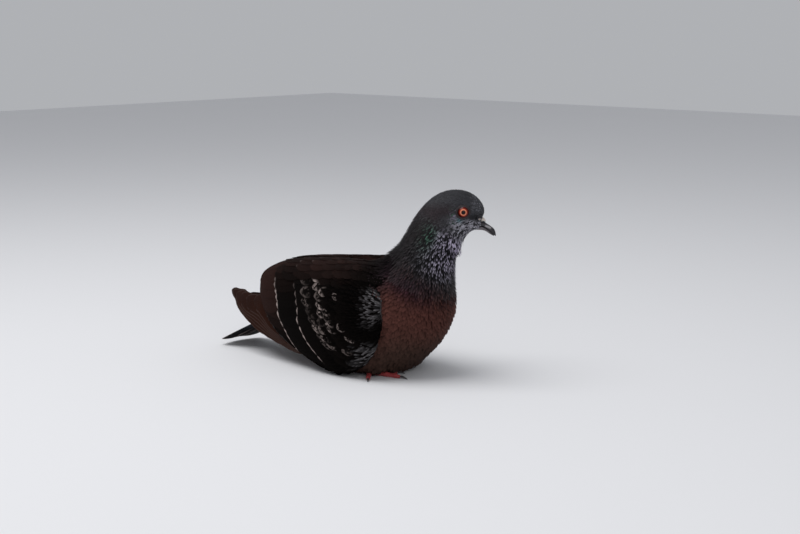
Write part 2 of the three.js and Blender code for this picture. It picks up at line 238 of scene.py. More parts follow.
def spline(rows, count):
    """A smooth curve through rows of numbers, as count evenly numbered points."""
    rows = np.array(rows, float)
    padded = np.vstack([2 * rows[0] - rows[1], rows, 2 * rows[-1] - rows[-2]])
    at = np.linspace(0, len(rows) - 1, count)
    i = np.minimum(at.astype(int), len(rows) - 2)
    s = (at - i)[:, None]
    a, b, c, d = (padded[i + k] for k in range(4))
    return 0.5 * (
        2 * b + (c - a) * s + (2 * a - 5 * b + 4 * c - d) * s**2 + (3 * b - a - 3 * c + d) * s**3
    )


HEAD_TURN = math.radians(42)
NECK_AHEAD = 31  # mm ahead of the origin, where the upright stands that the head turns about
NECK_AXIS = np.array([NECK_AHEAD, 0, 0]) * MM
HEAD_AHEAD = np.array([math.cos(HEAD_TURN), math.sin(HEAD_TURN), 0])
SIDE_RIGHT = np.array([math.sin(HEAD_TURN), -math.cos(HEAD_TURN), 0])
UP = np.array([0.0, 0, 1])
SIDES = {"right": -1, "left": 1}


def to_head(places):
    """Places in the head's own frame, with the bill straight ahead along +X."""
    moved = places - NECK_AXIS
    return np.stack([moved @ HEAD_AHEAD, moved @ -SIDE_RIGHT, moved[:, 2]], axis=1) + NECK_AXIS


def from_head(x, y, z):
    """A place of the straight head, in millimetres, turned to where the head looks."""
    return NECK_AXIS + ((x - NECK_AHEAD) * HEAD_AHEAD - y * SIDE_RIGHT + z * UP) * MM


LINE_STEPS = 20
LINE_BLUR = 7 * MM
CHUNK = 4000  # places worked out at once, which keeps the arrays small
line_points = spline(list(BODY_LINE.values()), LINE_STEPS * (len(BODY_LINE) - 1) + 1) * MM
line_headings = unit(np.gradient(line_points, axis=0))
line_lengths = np.append(0, np.cumsum(np.linalg.norm(np.diff(line_points, axis=0), axis=1)))
PLACE = {name: line_lengths[LINE_STEPS * i] for i, name in enumerate(BODY_LINE)}


def along_body(places):
    """For each place: how far it is along the body line, the line's heading and its nearest point."""
    found = [np.empty(len(places)), np.empty((len(places), 3)), np.empty((len(places), 3))]
    for start in range(0, len(places), CHUNK):
        part = slice(start, start + CHUNK)
        away = np.linalg.norm(places[part, None] - line_points[None], axis=2)
        weight = np.exp(-(away - away.min(1, keepdims=True)) / LINE_BLUR)
        weight /= weight.sum(1, keepdims=True)
        found[0][part] = weight @ line_lengths
        found[1][part] = unit(weight @ line_headings)
        found[2][part] = weight @ line_points
    return found


print("body line:", {name: round(value / MM) for name, value in PLACE.items()})

# %% [markdown]
# ## Skin
# Under its feathers a bird is one smooth skin. The solids of the trunk, neck, head and wings are
# joined and remeshed into a single surface, which shows no seams. That outer surface is kept as a
# guide for the feather tips, and the skin itself is drawn in under it by the depth of the coat.

# %% The outer form and the skin
SKIN_VOXEL, WING_VOXEL = 1.1 * MM, 1.3 * MM
# Along the body line: how deep the coat is and how far apart its feathers grow, in millimetres,
# how long and how wide they are, in times that spacing, and how much their shades differ.
COAT = {
    "bill": (0.4, 0.5, 4.2, 1.4, 0.35),
    "brow": (0.6, 0.6, 4.4, 1.4, 0.3),
    "crown": (0.9, 0.75, 4.6, 1.4, 0.18),
    "hind head": (1.2, 0.88, 4.6, 1.4, 0.18),
    "nape": (1.6, 1.0, 4.6, 1.4, 0.35),
    "high neck": (2.0, 1.05, 4.6, 1.4, 0.5),
    "low neck": (2.6, 1.3, 4.2, 1.4, 0.42),
    "crop": (3.2, 1.8, 4.0, 1.6, 0.17),
    "keel": (3.6, 2.4, 3.8, 1.65, 0.15),
    "back": (3.6, 3.2, 3.6, 1.7, 0.14),
    "rump": (3.6, 4.6, 3.3, 1.7, 0.10),
    "vent": (3.0, 4.6, 3.3, 1.7, 0.10),
    "tail": (2.5, 4.6, 3.3, 1.7, 0.10),
}


def coat(at):
    """The coat's figures at these distances along the body line, lengths in metres."""
    stations = [PLACE[name] for name in COAT]
    columns = zip(*COAT.values())
    depth, spacing, long, wide, contrast = (np.interp(at, stations, c) for c in columns)
    return depth * MM, spacing * MM, long * spacing * MM, wide * spacing * MM, contrast


def keep_largest(made):
    """Deletes the closed pockets that a remesh leaves inside, and keeps the outer shell."""
    shape = bmesh.new()
    shape.from_mesh(made.data)
    left, largest = set(shape.verts), set()
    while left:
        front = [left.pop()]
        shell = set(front)
        while front:
            near = {v for edge in front.pop().link_edges for v in edge.verts} & left
            left -= near
            shell |= near
            front += near
        largest = max(largest, shell, key=len)
    bmesh.ops.delete(shape, geom=[v for v in shape.verts if v not in largest], context="VERTS")
    shape.to_mesh(made.data)
    shape.free()


def push_rear(made, shift):
    """Moves the rear of the bill or cere, as far as the front of the nostrils."""
    places = points_of(made)
    rear = 1 - smooth(to_head(places)[:, 0], 76 * MM, 77.2 * MM)
    move_points(made, places + rear[:, None] * shift)


def smooth_form(name, *node_names, voxel=SKIN_VOXEL, rounds=4, shift=0 * UP):
    """One smooth form of some solids. The shift pushes its rear back into the face."""
    made = copy_of(name, *node_names)
    if shift.any():
        push_rear(made, shift)
    apply(made, "REMESH", mode="VOXEL", voxel_size=voxel)
    apply(made, "SMOOTH", factor=0.5, iterations=rounds)
    keep_largest(made)
    return soften(made)


def as_guide(made):
    """Keeps a form as a surface alone."""
    surface = Surface(made)
    bpy.data.objects.remove(made)
    return surface


BARE_DEPTH = 0.4 * MM
CERE_SHIFT = (0.5 * UP - 2.4 * HEAD_AHEAD) * MM
cere_copy = copy_of("cere_form", "cere")
push_rear(cere_copy, CERE_SHIFT)
cere_form = as_guide(cere_copy)


def make_room(made):
    """Draws the face in under the cere, which is bare of feathers."""
    places = points_of(made)
    x, _, z = to_head(places).T / MM
    share = smooth(x, 71.2, 72.4) * (1 - smooth(z, 127.2, 128.6)) * smooth(z, 121.0, 122.6)
    place, facing, _ = cere_form.nearest(places)
    share *= ((places - place) * facing).sum(1) > 0
    move_points(made, places + share[:, None] * (place - facing * BARE_DEPTH - places))
    return made


skin = make_room(smooth_form("skin", "trunk", "neck", "head", "wing_left", "wing_right"))
whole_form = Surface(skin)
body_form = as_guide(make_room(smooth_form("body_form", "trunk", "neck", "head")))
wing_forms = {
    side: as_guide(smooth_form("wing_form", f"wing_{side}", voxel=WING_VOXEL)) for side in SIDES
}

WING_COAT_DEPTH = 3.0 * MM
EYE_CENTRES = {side: np.array(sum(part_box(f"eye_{side}"), Vector())) / 2 for side in SIDES}
LOOK = {side: SIDE_RIGHT * -sign for side, sign in SIDES.items()}  # which way each eye looks
EYE_RADIUS = (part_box("eye_right")[1].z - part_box("eye_right")[0].z) / 2
LID_REACH = 2.0 * MM  # from the eyeball, over which the coat thins out to bare skin
THIN_SHARE = 0.33  # of the local thickness, the most that thin parts are drawn in from each side
WING_AXIS = 45 * MM  # the height that angles round the wings are measured from
SAG = 5.8 * MM  # how far the top of each wing's rear end sags, under the vanes that droop there
SAG_FROM, SAG_OVER = 68, 60  # mm behind the origin where the sag starts, and over which it grows


def wing_share(places):
    """1 where a place belongs to a wing, 0 on the body, and a ramp of a few millimetres between."""
    to_wing = np.minimum(*(wing_forms[side].distance(places) for side in SIDES))
    return smooth(body_form.distance(places) - to_wing, -0.5 * MM, 1.5 * MM)


def to_eyes(places):
    """How far each place is from the middle of the nearer eye."""
    return np.minimum(*(np.linalg.norm(places - centre, axis=1) for centre in EYE_CENTRES.values()))


skin_points, skin_normals = points_of(skin), normals_of(skin)
skin_wing = wing_share(skin_points)
depth = coat(along_body(skin_points)[0])[0]
depth += (WING_COAT_DEPTH - depth) * skin_wing
depth *= smooth(to_eyes(skin_points) - EYE_RADIUS, 0.2 * MM, LID_REACH) * 0.9 + 0.1
for i, (place, facing) in enumerate(zip(skin_points, skin_normals)):
    thickness = whole_form.tree.ray_cast(Vector(place - facing * 0.05 * MM), Vector(-facing))[3]
    if thickness is not None:
        depth[i] = min(depth[i], THIN_SHARE * thickness)
turned = np.degrees(np.arctan2(skin_points[:, 2] - WING_AXIS, np.abs(skin_points[:, 1])))
rearward = np.clip(-skin_points[:, 0] / MM - SAG_FROM, 0, SAG_OVER) / SAG_OVER
drawn_in = skin_points - skin_normals * depth[:, None]
drawn_in[:, 2] -= SAG * skin_wing * smooth(turned, 44, 68) * rearward**2.5
move_points(skin, above_floor(drawn_in))
apply(skin, "SMOOTH", factor=0.5, iterations=2)
print("skin points:", len(skin_points), "drawn in by up to", round(depth.max() / MM, 1), "mm")

# %% [markdown]
# The skin is unwrapped once, by its own shape. Every small feather later takes a tiny patch of
# this map at the place of its root, so that a bake keeps neighbours' colours side by side.

# %% The skin's map
BAKE_MAP = "OFBake"
skin.data.uv_layers.new(name=BAKE_MAP)
edit(skin, bpy.ops.uv.smart_project, angle_limit=math.radians(60), island_margin=0.002)
skin_surface = Surface(skin)
corner_uv = np.empty(2 * len(skin.data.loops))
skin.data.uv_layers[BAKE_MAP].uv.foreach_get("vector", corner_uv)
corner_uv = corner_uv.reshape(-1, 2)
skin_face_uv = np.array(
    [corner_uv[f.loop_start : f.loop_start + f.loop_total].mean(0) for f in skin.data.polygons]
)


def skin_map(places):
    """The skin map's place under each point."""
    return skin_face_uv[skin_surface.nearest(places)[2]]


# %% [markdown]
# ## How a feather is made
# A contour feather is a thin curved blade, called a vane, with a shaft down its middle. Its root
# is low in the coat and its tip high, so each one covers the roots of those behind it. Here a
# vane is a closed blade of a few dozen faces, built as arrays for thousands of feathers at once:
# a row of stations from root to tip, and at each one a few columns from edge to edge.

# %% Feather blades


def lay_shafts(roots, headings, lengths, surface, stations, turn):
    """Walks each shaft over a surface, from its root, to stations given as shares of its length.
    Gives places and facings of (f, k, 3). The lie at each place turns the shaft's heading."""
    places, facings = np.empty((2, len(roots), len(stations), 3))
    walking, heading = roots.copy(), headings.copy()
    for k, step in enumerate(np.append(np.diff(stations), 0)):
        place, facing, _ = surface.nearest(walking)
        places[:, k], facings[:, k] = place, facing
        if k:
            facings[:, k] = unit(0.5 * facings[:, k] + 0.5 * facings[:, k - 1])
        heading = unit(0.55 * heading + 0.45 * turn(place))
        heading = unit(heading - facing * (heading * facing).sum(1, keepdims=True))
        walking = place + heading * (lengths * step)[:, None]
    return places, facings


def round_tip(t, root=0.3, widest=0.55, power=2.2):
    """Half the width of a contour feather along its length, as a share of its widest."""
    rise = root + (1 - root) * np.sin(np.pi / 2 * np.clip(t / widest, 0, 1))
    fall = (1 - np.clip((t - widest) / (1 - widest), 0, 1) ** power) ** 0.5
    return rise * np.maximum(fall, 0.1)


def pointed_tip(t):
    """The same for a narrower feather, which ends in a point."""
    return round_tip(t, root=0.35, widest=0.4, power=1.3)


BAKE_PATCH = 0.003  # how wide each small feather's patch of the skin's map is
MARK_UNIT = 10 * MM  # marks are stored in this unit, so that most lie between 0 and 1


class Coat:
    """Collects blades, and makes them one object."""

    def __init__(self, columns):
        self.columns = columns
        self.across = np.linspace(-1, 1, columns)
        self.parts = []

    def sheet(self, places, facings, half, camber=0.0, roll=0.0):
        """The middle of each vane, from shafts of (f, k) places that face outwards, crowned by
        camber and rolled about the shaft. Gives places and facings of (f, k, columns)."""
        ahead = unit(np.gradient(places, axis=1))
        side = unit(np.cross(ahead, facings))
        up = unit(np.cross(side, ahead))[:, :, None]
        spread = (half[..., None] * self.across)[..., None]
        crown = (half[..., None] * (1 - self.across**2))[..., None]
        return places[:, :, None] + side[:, :, None] * spread + up * (camber * crown + roll * spread), up

    def add(self, sheet, half, thick, tint, pale=0.0, fringe=0.0, bare=0.0, stroke=0.0, bake=None):
        """Adds f blades of k stations, in metres: their middle sheet, half widths and thickness
        (f, k), and tint (f, k, 3). The rim is pale by a share of (f, k, columns), over a fringe
        of that width, and on the long edges only where it reaches past a bare width. The stroke is
        how much darker a vane is at its edges than at its shaft."""
        middle, up = sheet
        f, k, columns, _ = middle.shape
        wall = up * ((0.3 + 0.7 * (1 - self.across**2)) * thick[..., None] / 2)[..., None]
        steps = np.linalg.norm(np.diff(middle[:, :, columns // 2], axis=1), axis=2)
        along = np.concatenate([np.zeros((f, 1)), steps.cumsum(1)], axis=1)[..., None]
        ring = np.concatenate([self.across, self.across[::-1]])
        rim = np.minimum((1 - np.abs(ring)) * half[..., None] + bare, along[:, -1:] - along)
        pale = np.broadcast_to(pale, (f, k, columns))
        pale = np.concatenate([pale, pale[:, :, ::-1]], axis=2)
        tint = np.broadcast_to(tint, (f, k, 3))[:, :, None]
        self.parts.append({
            "points": np.concatenate([middle + wall, (middle - wall)[:, :, ::-1]], axis=2),
            "tint": tint * (1 - stroke * np.abs(ring)[:, None]),
            "vane": np.stack([ring * half[..., None], np.broadcast_to(along, rim.shape)], axis=-1),
            "marks": np.stack([rim / MARK_UNIT, pale, np.full(rim.shape, fringe / MARK_UNIT)], axis=-1),
            "bake": bake,
        })

    def add_one(self, places, facing, half, thick, tint, camber, roll, **rim):
        """Adds a single blade, from a shaft of k places."""
        sheet = self.sheet(places[None], facing[None], half[None], camber, roll)
        self.add(sheet, half[None], thick[None], tint[None], **rim)

    def faces(self, f, k):
        """Corner numbers of the closed blades, and which ring place and station each corner has."""
        ring = 2 * self.columns
        j, s = np.meshgrid(np.arange(ring), np.arange(k - 1), indexing="ij")
        on, after = s * ring, (s + 1) * ring
        wall = np.stack([on + j, on + (j + 1) % ring, after + (j + 1) % ring, after + j], axis=-1)
        turn = np.stack([j, j + 1, j + 1, j], axis=-1)
        c = np.arange(self.columns - 1)
        last = (k - 1) * ring
        root = np.stack([c, ring - 1 - c, ring - 2 - c, c + 1], axis=-1)
        tip = last + np.stack([c, c + 1, ring - 2 - c, ring - 1 - c], axis=-1)
        corners = np.vstack([wall.reshape(-1, 4), root, tip])
        round_place = np.vstack([turn.reshape(-1, 4), root % ring, tip % ring]) / ring
        shift = np.arange(f)[:, None, None] * (k * ring)
        return (corners[None] + shift).reshape(-1, 4), np.tile(round_place, (f, 1, 1)).reshape(-1, 4)

    def build(self, name):
        """One object with every blade. Its maps are the vane's millimetres and the bake map."""
        starts, corners, vane, bake = 0, [], [], []
        ring = 2 * self.columns
        for p in self.parts:
            f, k = p["points"].shape[:2]
            faces, round_place = self.faces(f, k)
            vane.append(p["vane"].reshape(-1, 2)[faces] / MM)
            if p["bake"] is not None:
                station = (faces % (k * ring)) // ring / (k - 1)
                patch = np.stack([round_place, station], axis=-1) - 0.5
                bake.append(p["bake"][faces // (k * ring)] + BAKE_PATCH * patch)
            corners.append(faces + starts)
            starts += f * k * ring
        corners = np.vstack(corners)
        mesh = bpy.data.meshes.new(name)
        mesh.vertices.add(starts)
        mesh.vertices.foreach_set("co", above_floor(self.joined("points")).ravel())
        mesh.loops.add(corners.size)
        mesh.loops.foreach_set("vertex_index", corners.ravel().astype(np.int32))
        mesh.polygons.add(len(corners))
        mesh.polygons.foreach_set("loop_start", np.arange(0, corners.size, 4, dtype=np.int32))
        mesh.update(calc_edges=True)
        for map_name, values in (("vane", vane), (BAKE_MAP, bake)):
            if values:
                layer = mesh.uv_layers.new(name=map_name)
                layer.uv.foreach_set("vector", np.vstack(values).astype(np.float32).ravel())
        paint(mesh, "tint", self.joined("tint"))
        paint(mesh, "marks", self.joined("marks"))
        mesh.shade_smooth()
        mesh.set_sharp_from_angle(angle=math.radians(50))
        made = bpy.data.objects.new(name, mesh)
        bpy.context.scene.collection.objects.link(made)
        print(name, "feathers:", sum(len(p["points"]) for p in self.parts), "triangles:", 2 * len(corners))
        return made

    def joined(self, key):
        """What every blade has under a key, one row for each point."""
        return np.vstack([p[key].reshape(-1, 3) for p in self.parts])


def paint(mesh, name, colours):
    """Stores a linear colour, or three numbers, at every point of a mesh."""
    layer = mesh.color_attributes.new(name=name, type="FLOAT_COLOR", domain="POINT")
    full = np.ones((len(colours), 4), np.float32)
    full[:, :3] = colours
    layer.data.foreach_set("color", full.ravel())


# %% [markdown]
# ## Markings
# One function says what colour the plumage has at any place, so the skin and the coat always
# agree. A dark feral pigeon is slate on the head, has a neck that shines green and violet, a
# maroon-brown breast, an olive-dark belly and wings that are nearly black. The neck's shine, a
# highlight on the brow and one at the bend of the wing are painted into the colour here.

# %% Plumage colours
SHADES = {
    "slate": "3e3e42",
    "soot": "1d1b1f",
    "plum": "2f2529",
    "ink": "17161b",
    "green": "57846f",
    "silver": "b9b7c2",
    "lavender": "cfc5de",
    "maroon": "54332d",
    "chestnut": "72493f",
    "olive": "3c2c26",
    "wine": "33202b",
    "teal": "4f7f86",
    "mantle": "130b0c",
    "wing": "0b0807",
    "umber": "2a1b18",
    "quill": "2c1710",
    "ash": "7a7779",
    "rump": "2d2a2e",
    "tail": "33343a",
    "band": "17171a",
    "pale": "a0928d",
}
SHADES = {name: linear(value) for name, value in SHADES.items()}


def mixed(first, second, share):
    """A colour taken by a share of the way to a second one."""
    return first + (second - first) * share[..., None]


def layered(colour, *layers):
    """A colour under layers, each a shade's name or its own colour, and how much it covers."""
    for shade, share in layers:
        colour = mixed(colour, SHADES[shade] if isinstance(shade, str) else shade, share)
    return colour


def spot(first, second, middle, reach):
    """A soft spot, 1 in its middle, over two numbers that chart a surface."""
    return np.exp(-(((first - middle[0]) / reach[0]) ** 2) - (((second - middle[1]) / reach[1]) ** 2))


def wing_plumage(places, chance):
    """Nearly black, browner to the rear and on top, with grey barbs down the front edge and a grey highlight
    painted at the bend.
    """
    x, _, z = places.T / MM
    brown = smooth(-x, 92, 130) * smooth(z, 15, 50)
    top = (0.35 + 0.55 * chance) * smooth(z, 70, 84) * smooth(-x, -5, 35)
    # The grey at the bend is a painted highlight, where the bend faces the light. Lower on the front edge
    # the grey barbs are the feathers' own.
    bend = smooth(x, 0, 16) * smooth(chance, 0.2, 0.8) * smooth(z, 40, 56) * (1 - smooth(z, 70, 76))
    low = smooth(x, -10, 8) * smooth(-z, -34, -20) * smooth(chance, 0.2, 0.7)
    colour = np.tile(SHADES["wing"], (len(places), 1))
    grey = np.clip(0.85 * bend + 0.8 * low, 0, 0.95)
    return layered(colour, ("umber", np.maximum(brown, top)), ("ash", grey))


def face_plumage(places, chance):
    """Slate on the crown with a painted highlight on the brow's top, sooty lores, and a cheek with painted
    glints of silver, violet, green and teal.
    """
    x, _, z = (to_head(places) / MM).T
    # Painted highlight: the top of the brow is made lighter, in specks, where light falls on it.
    painted_brow_highlight = smooth(x, 64, 73) * smooth(z, 128, 136)
    ear = smooth(x, 38, 46) * (1 - smooth(z, 126, 133))
    plum = smooth(62 - x, 2, 14) * smooth(142 - z, 0, 10) * (1 - 0.8 * ear)
    cheek = smooth(128.5 - z, 0, 6) * smooth(x, 45, 61)
    behind_eye = spot(x, z, (53.5, 128.5), (3.2, 5))
    below_eye = spot(x, z, (58, 126.3), (2.4, 2.4)) * smooth(chance, 0.2, 0.7)
    return layered(
        SHADES["slate"] * (1 + painted_brow_highlight * (0.6 + 2.2 * smooth(chance, 0.4, 0.9)))[:, None],
        ("plum", 0.85 * plum),
        ("soot", 0.7 * cheek),
        # Painted glints: silver on the cheek, lavender and green behind the eye and teal below it stand for
        # the shine of iridescent feathers.
        ("silver", 0.95 * cheek * smooth(chance, 0.3, 0.75)),
        ("lavender", 0.3 * behind_eye * smooth(chance, 0.5, 0.9)),
        ("green", 0.5 * behind_eye * smooth(0.4 - chance, 0, 0.3)),
        ("teal", 0.75 * below_eye),
        ("soot", 0.85 * spot(x, z, (70.0, 128), (5, 1.8))),
    )


def plumage(places, chance, wing):
    """The tint at each place. The chance, 0 to 1, is each feather's own, and picks how bright a
    glint it has. The wing share says how much of the place belongs to a wing."""
    at, _, centre = along_body(places)
    outward = unit(places - centre)
    front = (outward * HEAD_AHEAD).sum(1)
    high = outward[:, 2]
    far = at / MM
    neck = smooth(far + 8 * np.maximum(front, 0), 34, 44)
    glint = neck * smooth(chance, 0.3, 0.78)
    grey = (0.16 + 0.4 * smooth(front, -0.7, 0.2)) * (1 - 0.8 * smooth(far, 58, 78))
    violet = smooth(front, -0.4, 0.2) * (1 - smooth(far, 56, 73))
    edge = far - 5 * np.maximum(front, -0.6) + 12 * (chance - 0.5)
    ruddy = smooth(front, 0.3, 0.9) * smooth(high, -0.7, 0)
    red = mixed(SHADES["maroon"][None], SHADES["chestnut"][None], ruddy)
    return layered(
        face_plumage(places, chance),
        ("ink", neck),
        # Painted sheen: the silver and lavender glints and the green and wine patches put the shine of the
        # iridescent neck into its colour.
        ("silver", glint * grey),
        ("green", 0.9 * glint * spot(front, far, (-0.47, 45.5), (0.26, 7))),
        ("lavender", 0.95 * glint * violet),
        (0.7 * SHADES["plum"], 0.8 * smooth(-front, 0.3, 0.8) * neck),
        (red, smooth(edge, 66, 90) * smooth(outward[:, 0] - 0.8 * high, -0.5, 0.35)),
        ("wine", 0.85 * spot(front, far, (-0.4, 79), (0.55, 8))),
        ("mantle", smooth(far, 57, 88) * smooth(high - 0.6 * outward[:, 0], 0.1, 0.6)),
        ("olive", smooth(at, PLACE["crop"], PLACE["keel"]) * smooth(-high, 0.3, 0.85)),
        ("rump", smooth(at, PLACE["back"] + 10 * MM, PLACE["rump"]) * smooth(high, -0.3, 0.5)),
        (wing_plumage(places, chance), wing),
    )


# %% [markdown]
# ## The coat of the head, neck and trunk
# Roots are spread evenly over the body, closer together on the face than on the belly. Each
# feather is about four times as long as the distance to its neighbour, so several lie on top of
# each other everywhere, and its tip reaches the outer form.

# %% Roots
CROWD = 7  # how many places are tried for each that there is room for
SMALL_STATIONS = 1 - (1 - np.linspace(0, 1, 6)) ** 1.5
LID_CLEAR = 4.9 * MM  # from the eye's axis, where no feather reaches


def scatter(surface, spacing_of):
    """Places spread evenly over a surface, about spacing_of(place) apart."""
    quads = np.array([f for f in surface.faces if len(f) == 4])
    corners = surface.points[quads]
    diagonals = corners[:, 2] - corners[:, 0], corners[:, 3] - corners[:, 1]
    area = np.linalg.norm(np.cross(*diagonals), axis=1) / 2
    weight = area / spacing_of(corners.mean(1)) ** 2
    chosen = DRAWS.choice(len(quads), int(CROWD * weight.sum()), p=weight / weight.sum())
    u, v = DRAWS.random((2, len(chosen), 1))
    a, b, c, d = (corners[chosen, k] for k in range(4))
    tried = (a * (1 - u) + b * u) * (1 - v) + (d * (1 - u) + c * u) * v
    spacing = spacing_of(tried)
    tree = kdtree.KDTree(len(tried))
    for i, place in enumerate(tried):
        tree.insert(place, i)
    tree.balance()
    free = np.ones(len(tried), bool)
    kept = []
    for i, place in enumerate(tried):
        if free[i]:
            kept.append(i)
            free[[hit[1] for hit in tree.find_range(place, spacing[i])]] = False
    return tried[kept]


def coat_spacing(places):
    """How far apart the coat's feathers grow at each place."""
    return coat(along_body(places)[0])[1]


def lie(places):
    """Which way the coat lies at each place."""
    return along_body(places)[1]


roots = scatter(whole_form, coat_spacing)
root_wing = wing_share(roots)
on_cere, cere_facing, _ = cere_form.nearest(roots)
under_cere = ((roots - on_cere) * cere_facing).sum(1) < 0.3 * MM
roots = roots[(root_wing < 0.6) & (to_eyes(roots) > EYE_RADIUS) & ~under_cere]
print("body roots:", len(roots))


def eye_room(places):
    """How far each shaft stays clear of the lids, measured from the axis of each eye."""
    away = []
    for side, centre in EYE_CENTRES.items():
        reach = places - centre
        along = reach @ LOOK[side]
        across = np.linalg.norm(reach - along[..., None] * LOOK[side], axis=-1)
        away.append(np.where(along > 0, across, 1).min(1))
    return np.minimum(*away) - LID_CLEAR


def tuft(places, size):
    """A random number, 0 to 1, that all places in the same small cube share."""
    cell = np.floor(places / size)
    return np.abs(np.sin(cell @ np.array([12.99, 78.23, 37.72])) * 43758.5) % 1


TUFT_SIZE = 4 * MM
TUFT_LIFT = 3.6 * MM
NAPE_CORNER = np.array([9, 93]) * MM  # x and z, where the neck meets the back
NAPE_LIFT = 2 * MM  # how far its feathers bridge that corner


def body_coat(name, roots, surface):
    """A piece of the coat of the head, neck and trunk, walked over the given surface."""
    coat_made = Coat(columns=3)
    at, heading, centre = along_body(roots)
    depth, _, length, width, contrast = coat(at)
    count = len(roots)
    front = (unit(roots - centre) * HEAD_AHEAD).sum(1)
    hackle = smooth(at, PLACE["nape"] - 6 * MM, PLACE["nape"] + 4 * MM)
    hackle *= 1 - smooth(at, PLACE["low neck"] + 6 * MM, PLACE["crop"] - 2 * MM)
    throat = smooth(at, 19 * MM, 26 * MM) * smooth(front, 0.2, 0.5)
    throat *= 1 - smooth(at, 33 * MM, 42 * MM)
    length = length * DRAWS.uniform(0.85, 1.15, count) * (1 + 0.9 * throat)
    heading = unit(heading + 0.14 * DRAWS.normal(size=heading.shape))
    t = SMALL_STATIONS
    for shorten in (0.55, 0.4, 1):
        places, facings = lay_shafts(roots, heading, length, surface, t, lie)
        length = np.where(eye_room(places) < 0, length * shorten, length)
    clear = eye_room(places) >= 0
    lift = -0.9 * depth[:, None] * (1 - t) ** 0.8
    lift = lift + (DRAWS.uniform(-0.06, 0.06 + 0.12 * hackle, count) * depth)[:, None] * t**2
    lift = lift + (throat * tuft(roots, TUFT_SIZE) * TUFT_LIFT)[:, None] * t**1.5
    to_corner = np.linalg.norm(places[:, -1, ::2] - NAPE_CORNER, axis=1)
    lift = lift + (NAPE_LIFT * np.exp(-((to_corner / (10 * MM)) ** 2)))[:, None] * t
    places = places + facings * lift[..., None]
    places[..., 2] = np.maximum(places[..., 2], 0.25 * MM)
    outline = round_tip(t) + hackle[:, None] * (pointed_tip(t) - round_tip(t))
    half = 0.5 * width[:, None] * outline * DRAWS.uniform(0.85, 1.1, (count, 1))
    half = half * (1 + 0.5 * throat)[:, None]
    thick = ((0.04 * MM + 0.02 * width) * (1 + 2 * throat))[:, None] * (1.2 - 0.7 * t)
    tint = plumage(places[:, 4], DRAWS.random(count), np.zeros(count))[:, None]
    base = 1 - np.minimum(1.7 * contrast, 0.8)[:, None] * (1 - smooth(t, 0.55, 0.8))
    tint = tint * base[..., None] * (1 + contrast * DRAWS.uniform(-1, 1, count))[:, None, None]
    places, facings, half, thick, tint = (v[clear] for v in (places, facings, half, thick, tint))
    hackle = hackle[clear][:, None, None, None]
    sheet = coat_made.sheet(places, facings, half, camber=0.06 + 0.12 * hackle)
    coat_made.add(sheet, half, thick, tint, stroke=0.75 * hackle, bake=skin_map(roots[clear]))
    return coat_made.build(name)


MANTLE_REAR, RUMP_FRONT = -17 * MM, -85 * MM  # between them the scapulars cover the back
COAT_ENDS = {"face": 13, "crown": 24, "head": 38, "nape": 55, "neck": 77, "breast": 115, "belly": 1e9}
root_at = along_body(roots)[0]
on_back = (roots[:, 2] > 70 * MM) & (root_at > PLACE["low neck"])
mantle = on_back & (roots[:, 0] < 25 * MM) & (roots[:, 0] > MANTLE_REAR)
under_wings = on_back & (roots[:, 0] < MANTLE_REAR) & (roots[:, 0] > RUMP_FRONT)
coat_pieces, start = {}, -1e9
for name, end in COAT_ENDS.items():
    part = (root_at >= start) & (root_at < end * MM) & ~mantle & ~under_wings
    coat_pieces[name] = body_coat(f"coat_{name}", roots[part], body_form)
    start = end * MM
coat_pieces["mantle"] = body_coat("coat_mantle", roots[mantle], whole_form)

# %% [markdown]
# ## The folded wing
# A wing is finished as a person would lay it: row upon row, from the long flight feathers at the
# back to the smallest coverts at the bend. A place on a wing is given by how far along the bird
# it is, in millimetres, and by an angle round the body, from 0 straight out to 90 on top. Each
# row is told by the line of its tips, and the row in front covers its roots.

# %% The wing's chart
RAY_START = 0.12  # metres out from the wings' axis, clear of both wings
NEAR_WING = 0.05  # metres out, where the nearest place is taken if a ray misses
REAR_STATIONS = range(-134, -90)  # where along the bird each wing's rear edge lies
REAR_GUESS = -118  # the rear edge where no station strikes the wing
VANE_TILT = 600  # how much further up a vane faces for each metre that it reaches over the slot


def wing_ray(side, x, angle):
    """The axis and the outward heading at a place of a wing's chart."""
    turned = math.radians(angle)
    out = np.array([0, SIDES[side] * math.cos(turned), math.sin(turned)])
    return np.array([x * MM, 0, WING_AXIS]), out


def wing_at(side, x, angle):
    """The wing's outer face at a place of its chart, and the way it faces."""
    axis, out = wing_ray(side, x, angle)
    met = whole_form.struck(axis + RAY_START * out, -out)
    if met is None:
        place, facing, _ = whole_form.nearest([axis + NEAR_WING * out])
        met = place[0], facing[0]
    return met


def last_struck(side, x, angle, step):
    """The last angle, going on by steps, at which a station still strikes the wing."""
    while abs(angle) < 100:
        axis, out = wing_ray(side, x, angle)
        if wing_forms[side].struck(axis + RAY_START * out, -out) is None:
            break
        angle += step
    return angle - step


def rear_edge(side, angle):
    """How far back the wing reaches at an angle."""
    struck = [x for x in REAR_STATIONS if last_struck(side, x, angle, 1) >= angle]
    return min(struck, default=REAR_GUESS)


EDGE_ROOM = 3  # degrees kept between a shaft and the wing's lower edge
WING_FRONT = 21  # no shaft starts further forward
SLOT_FRONT = -52  # the slot between the wings opens behind this
SLOT_REACH = 4.5  # how far a vane may reach over the slot, in mm
STATIONS = np.arange(-132, 24, 4.0)
REAR_ANGLES = np.arange(-40, 88, 6.0)
LOWEST = {side: [last_struck(side, x, 30, -1) + EDGE_ROOM for x in STATIONS] for side in SIDES}
HIGHEST = {
    side: [last_struck(side, x, 45, 1) - 1 if x < SLOT_FRONT else 96 for x in STATIONS]
    for side in SIDES
}
REAR = {side: [rear_edge(side, angle) + 0.7 for angle in REAR_ANGLES] for side in SIDES}
print("wing rear:", REAR["right"])


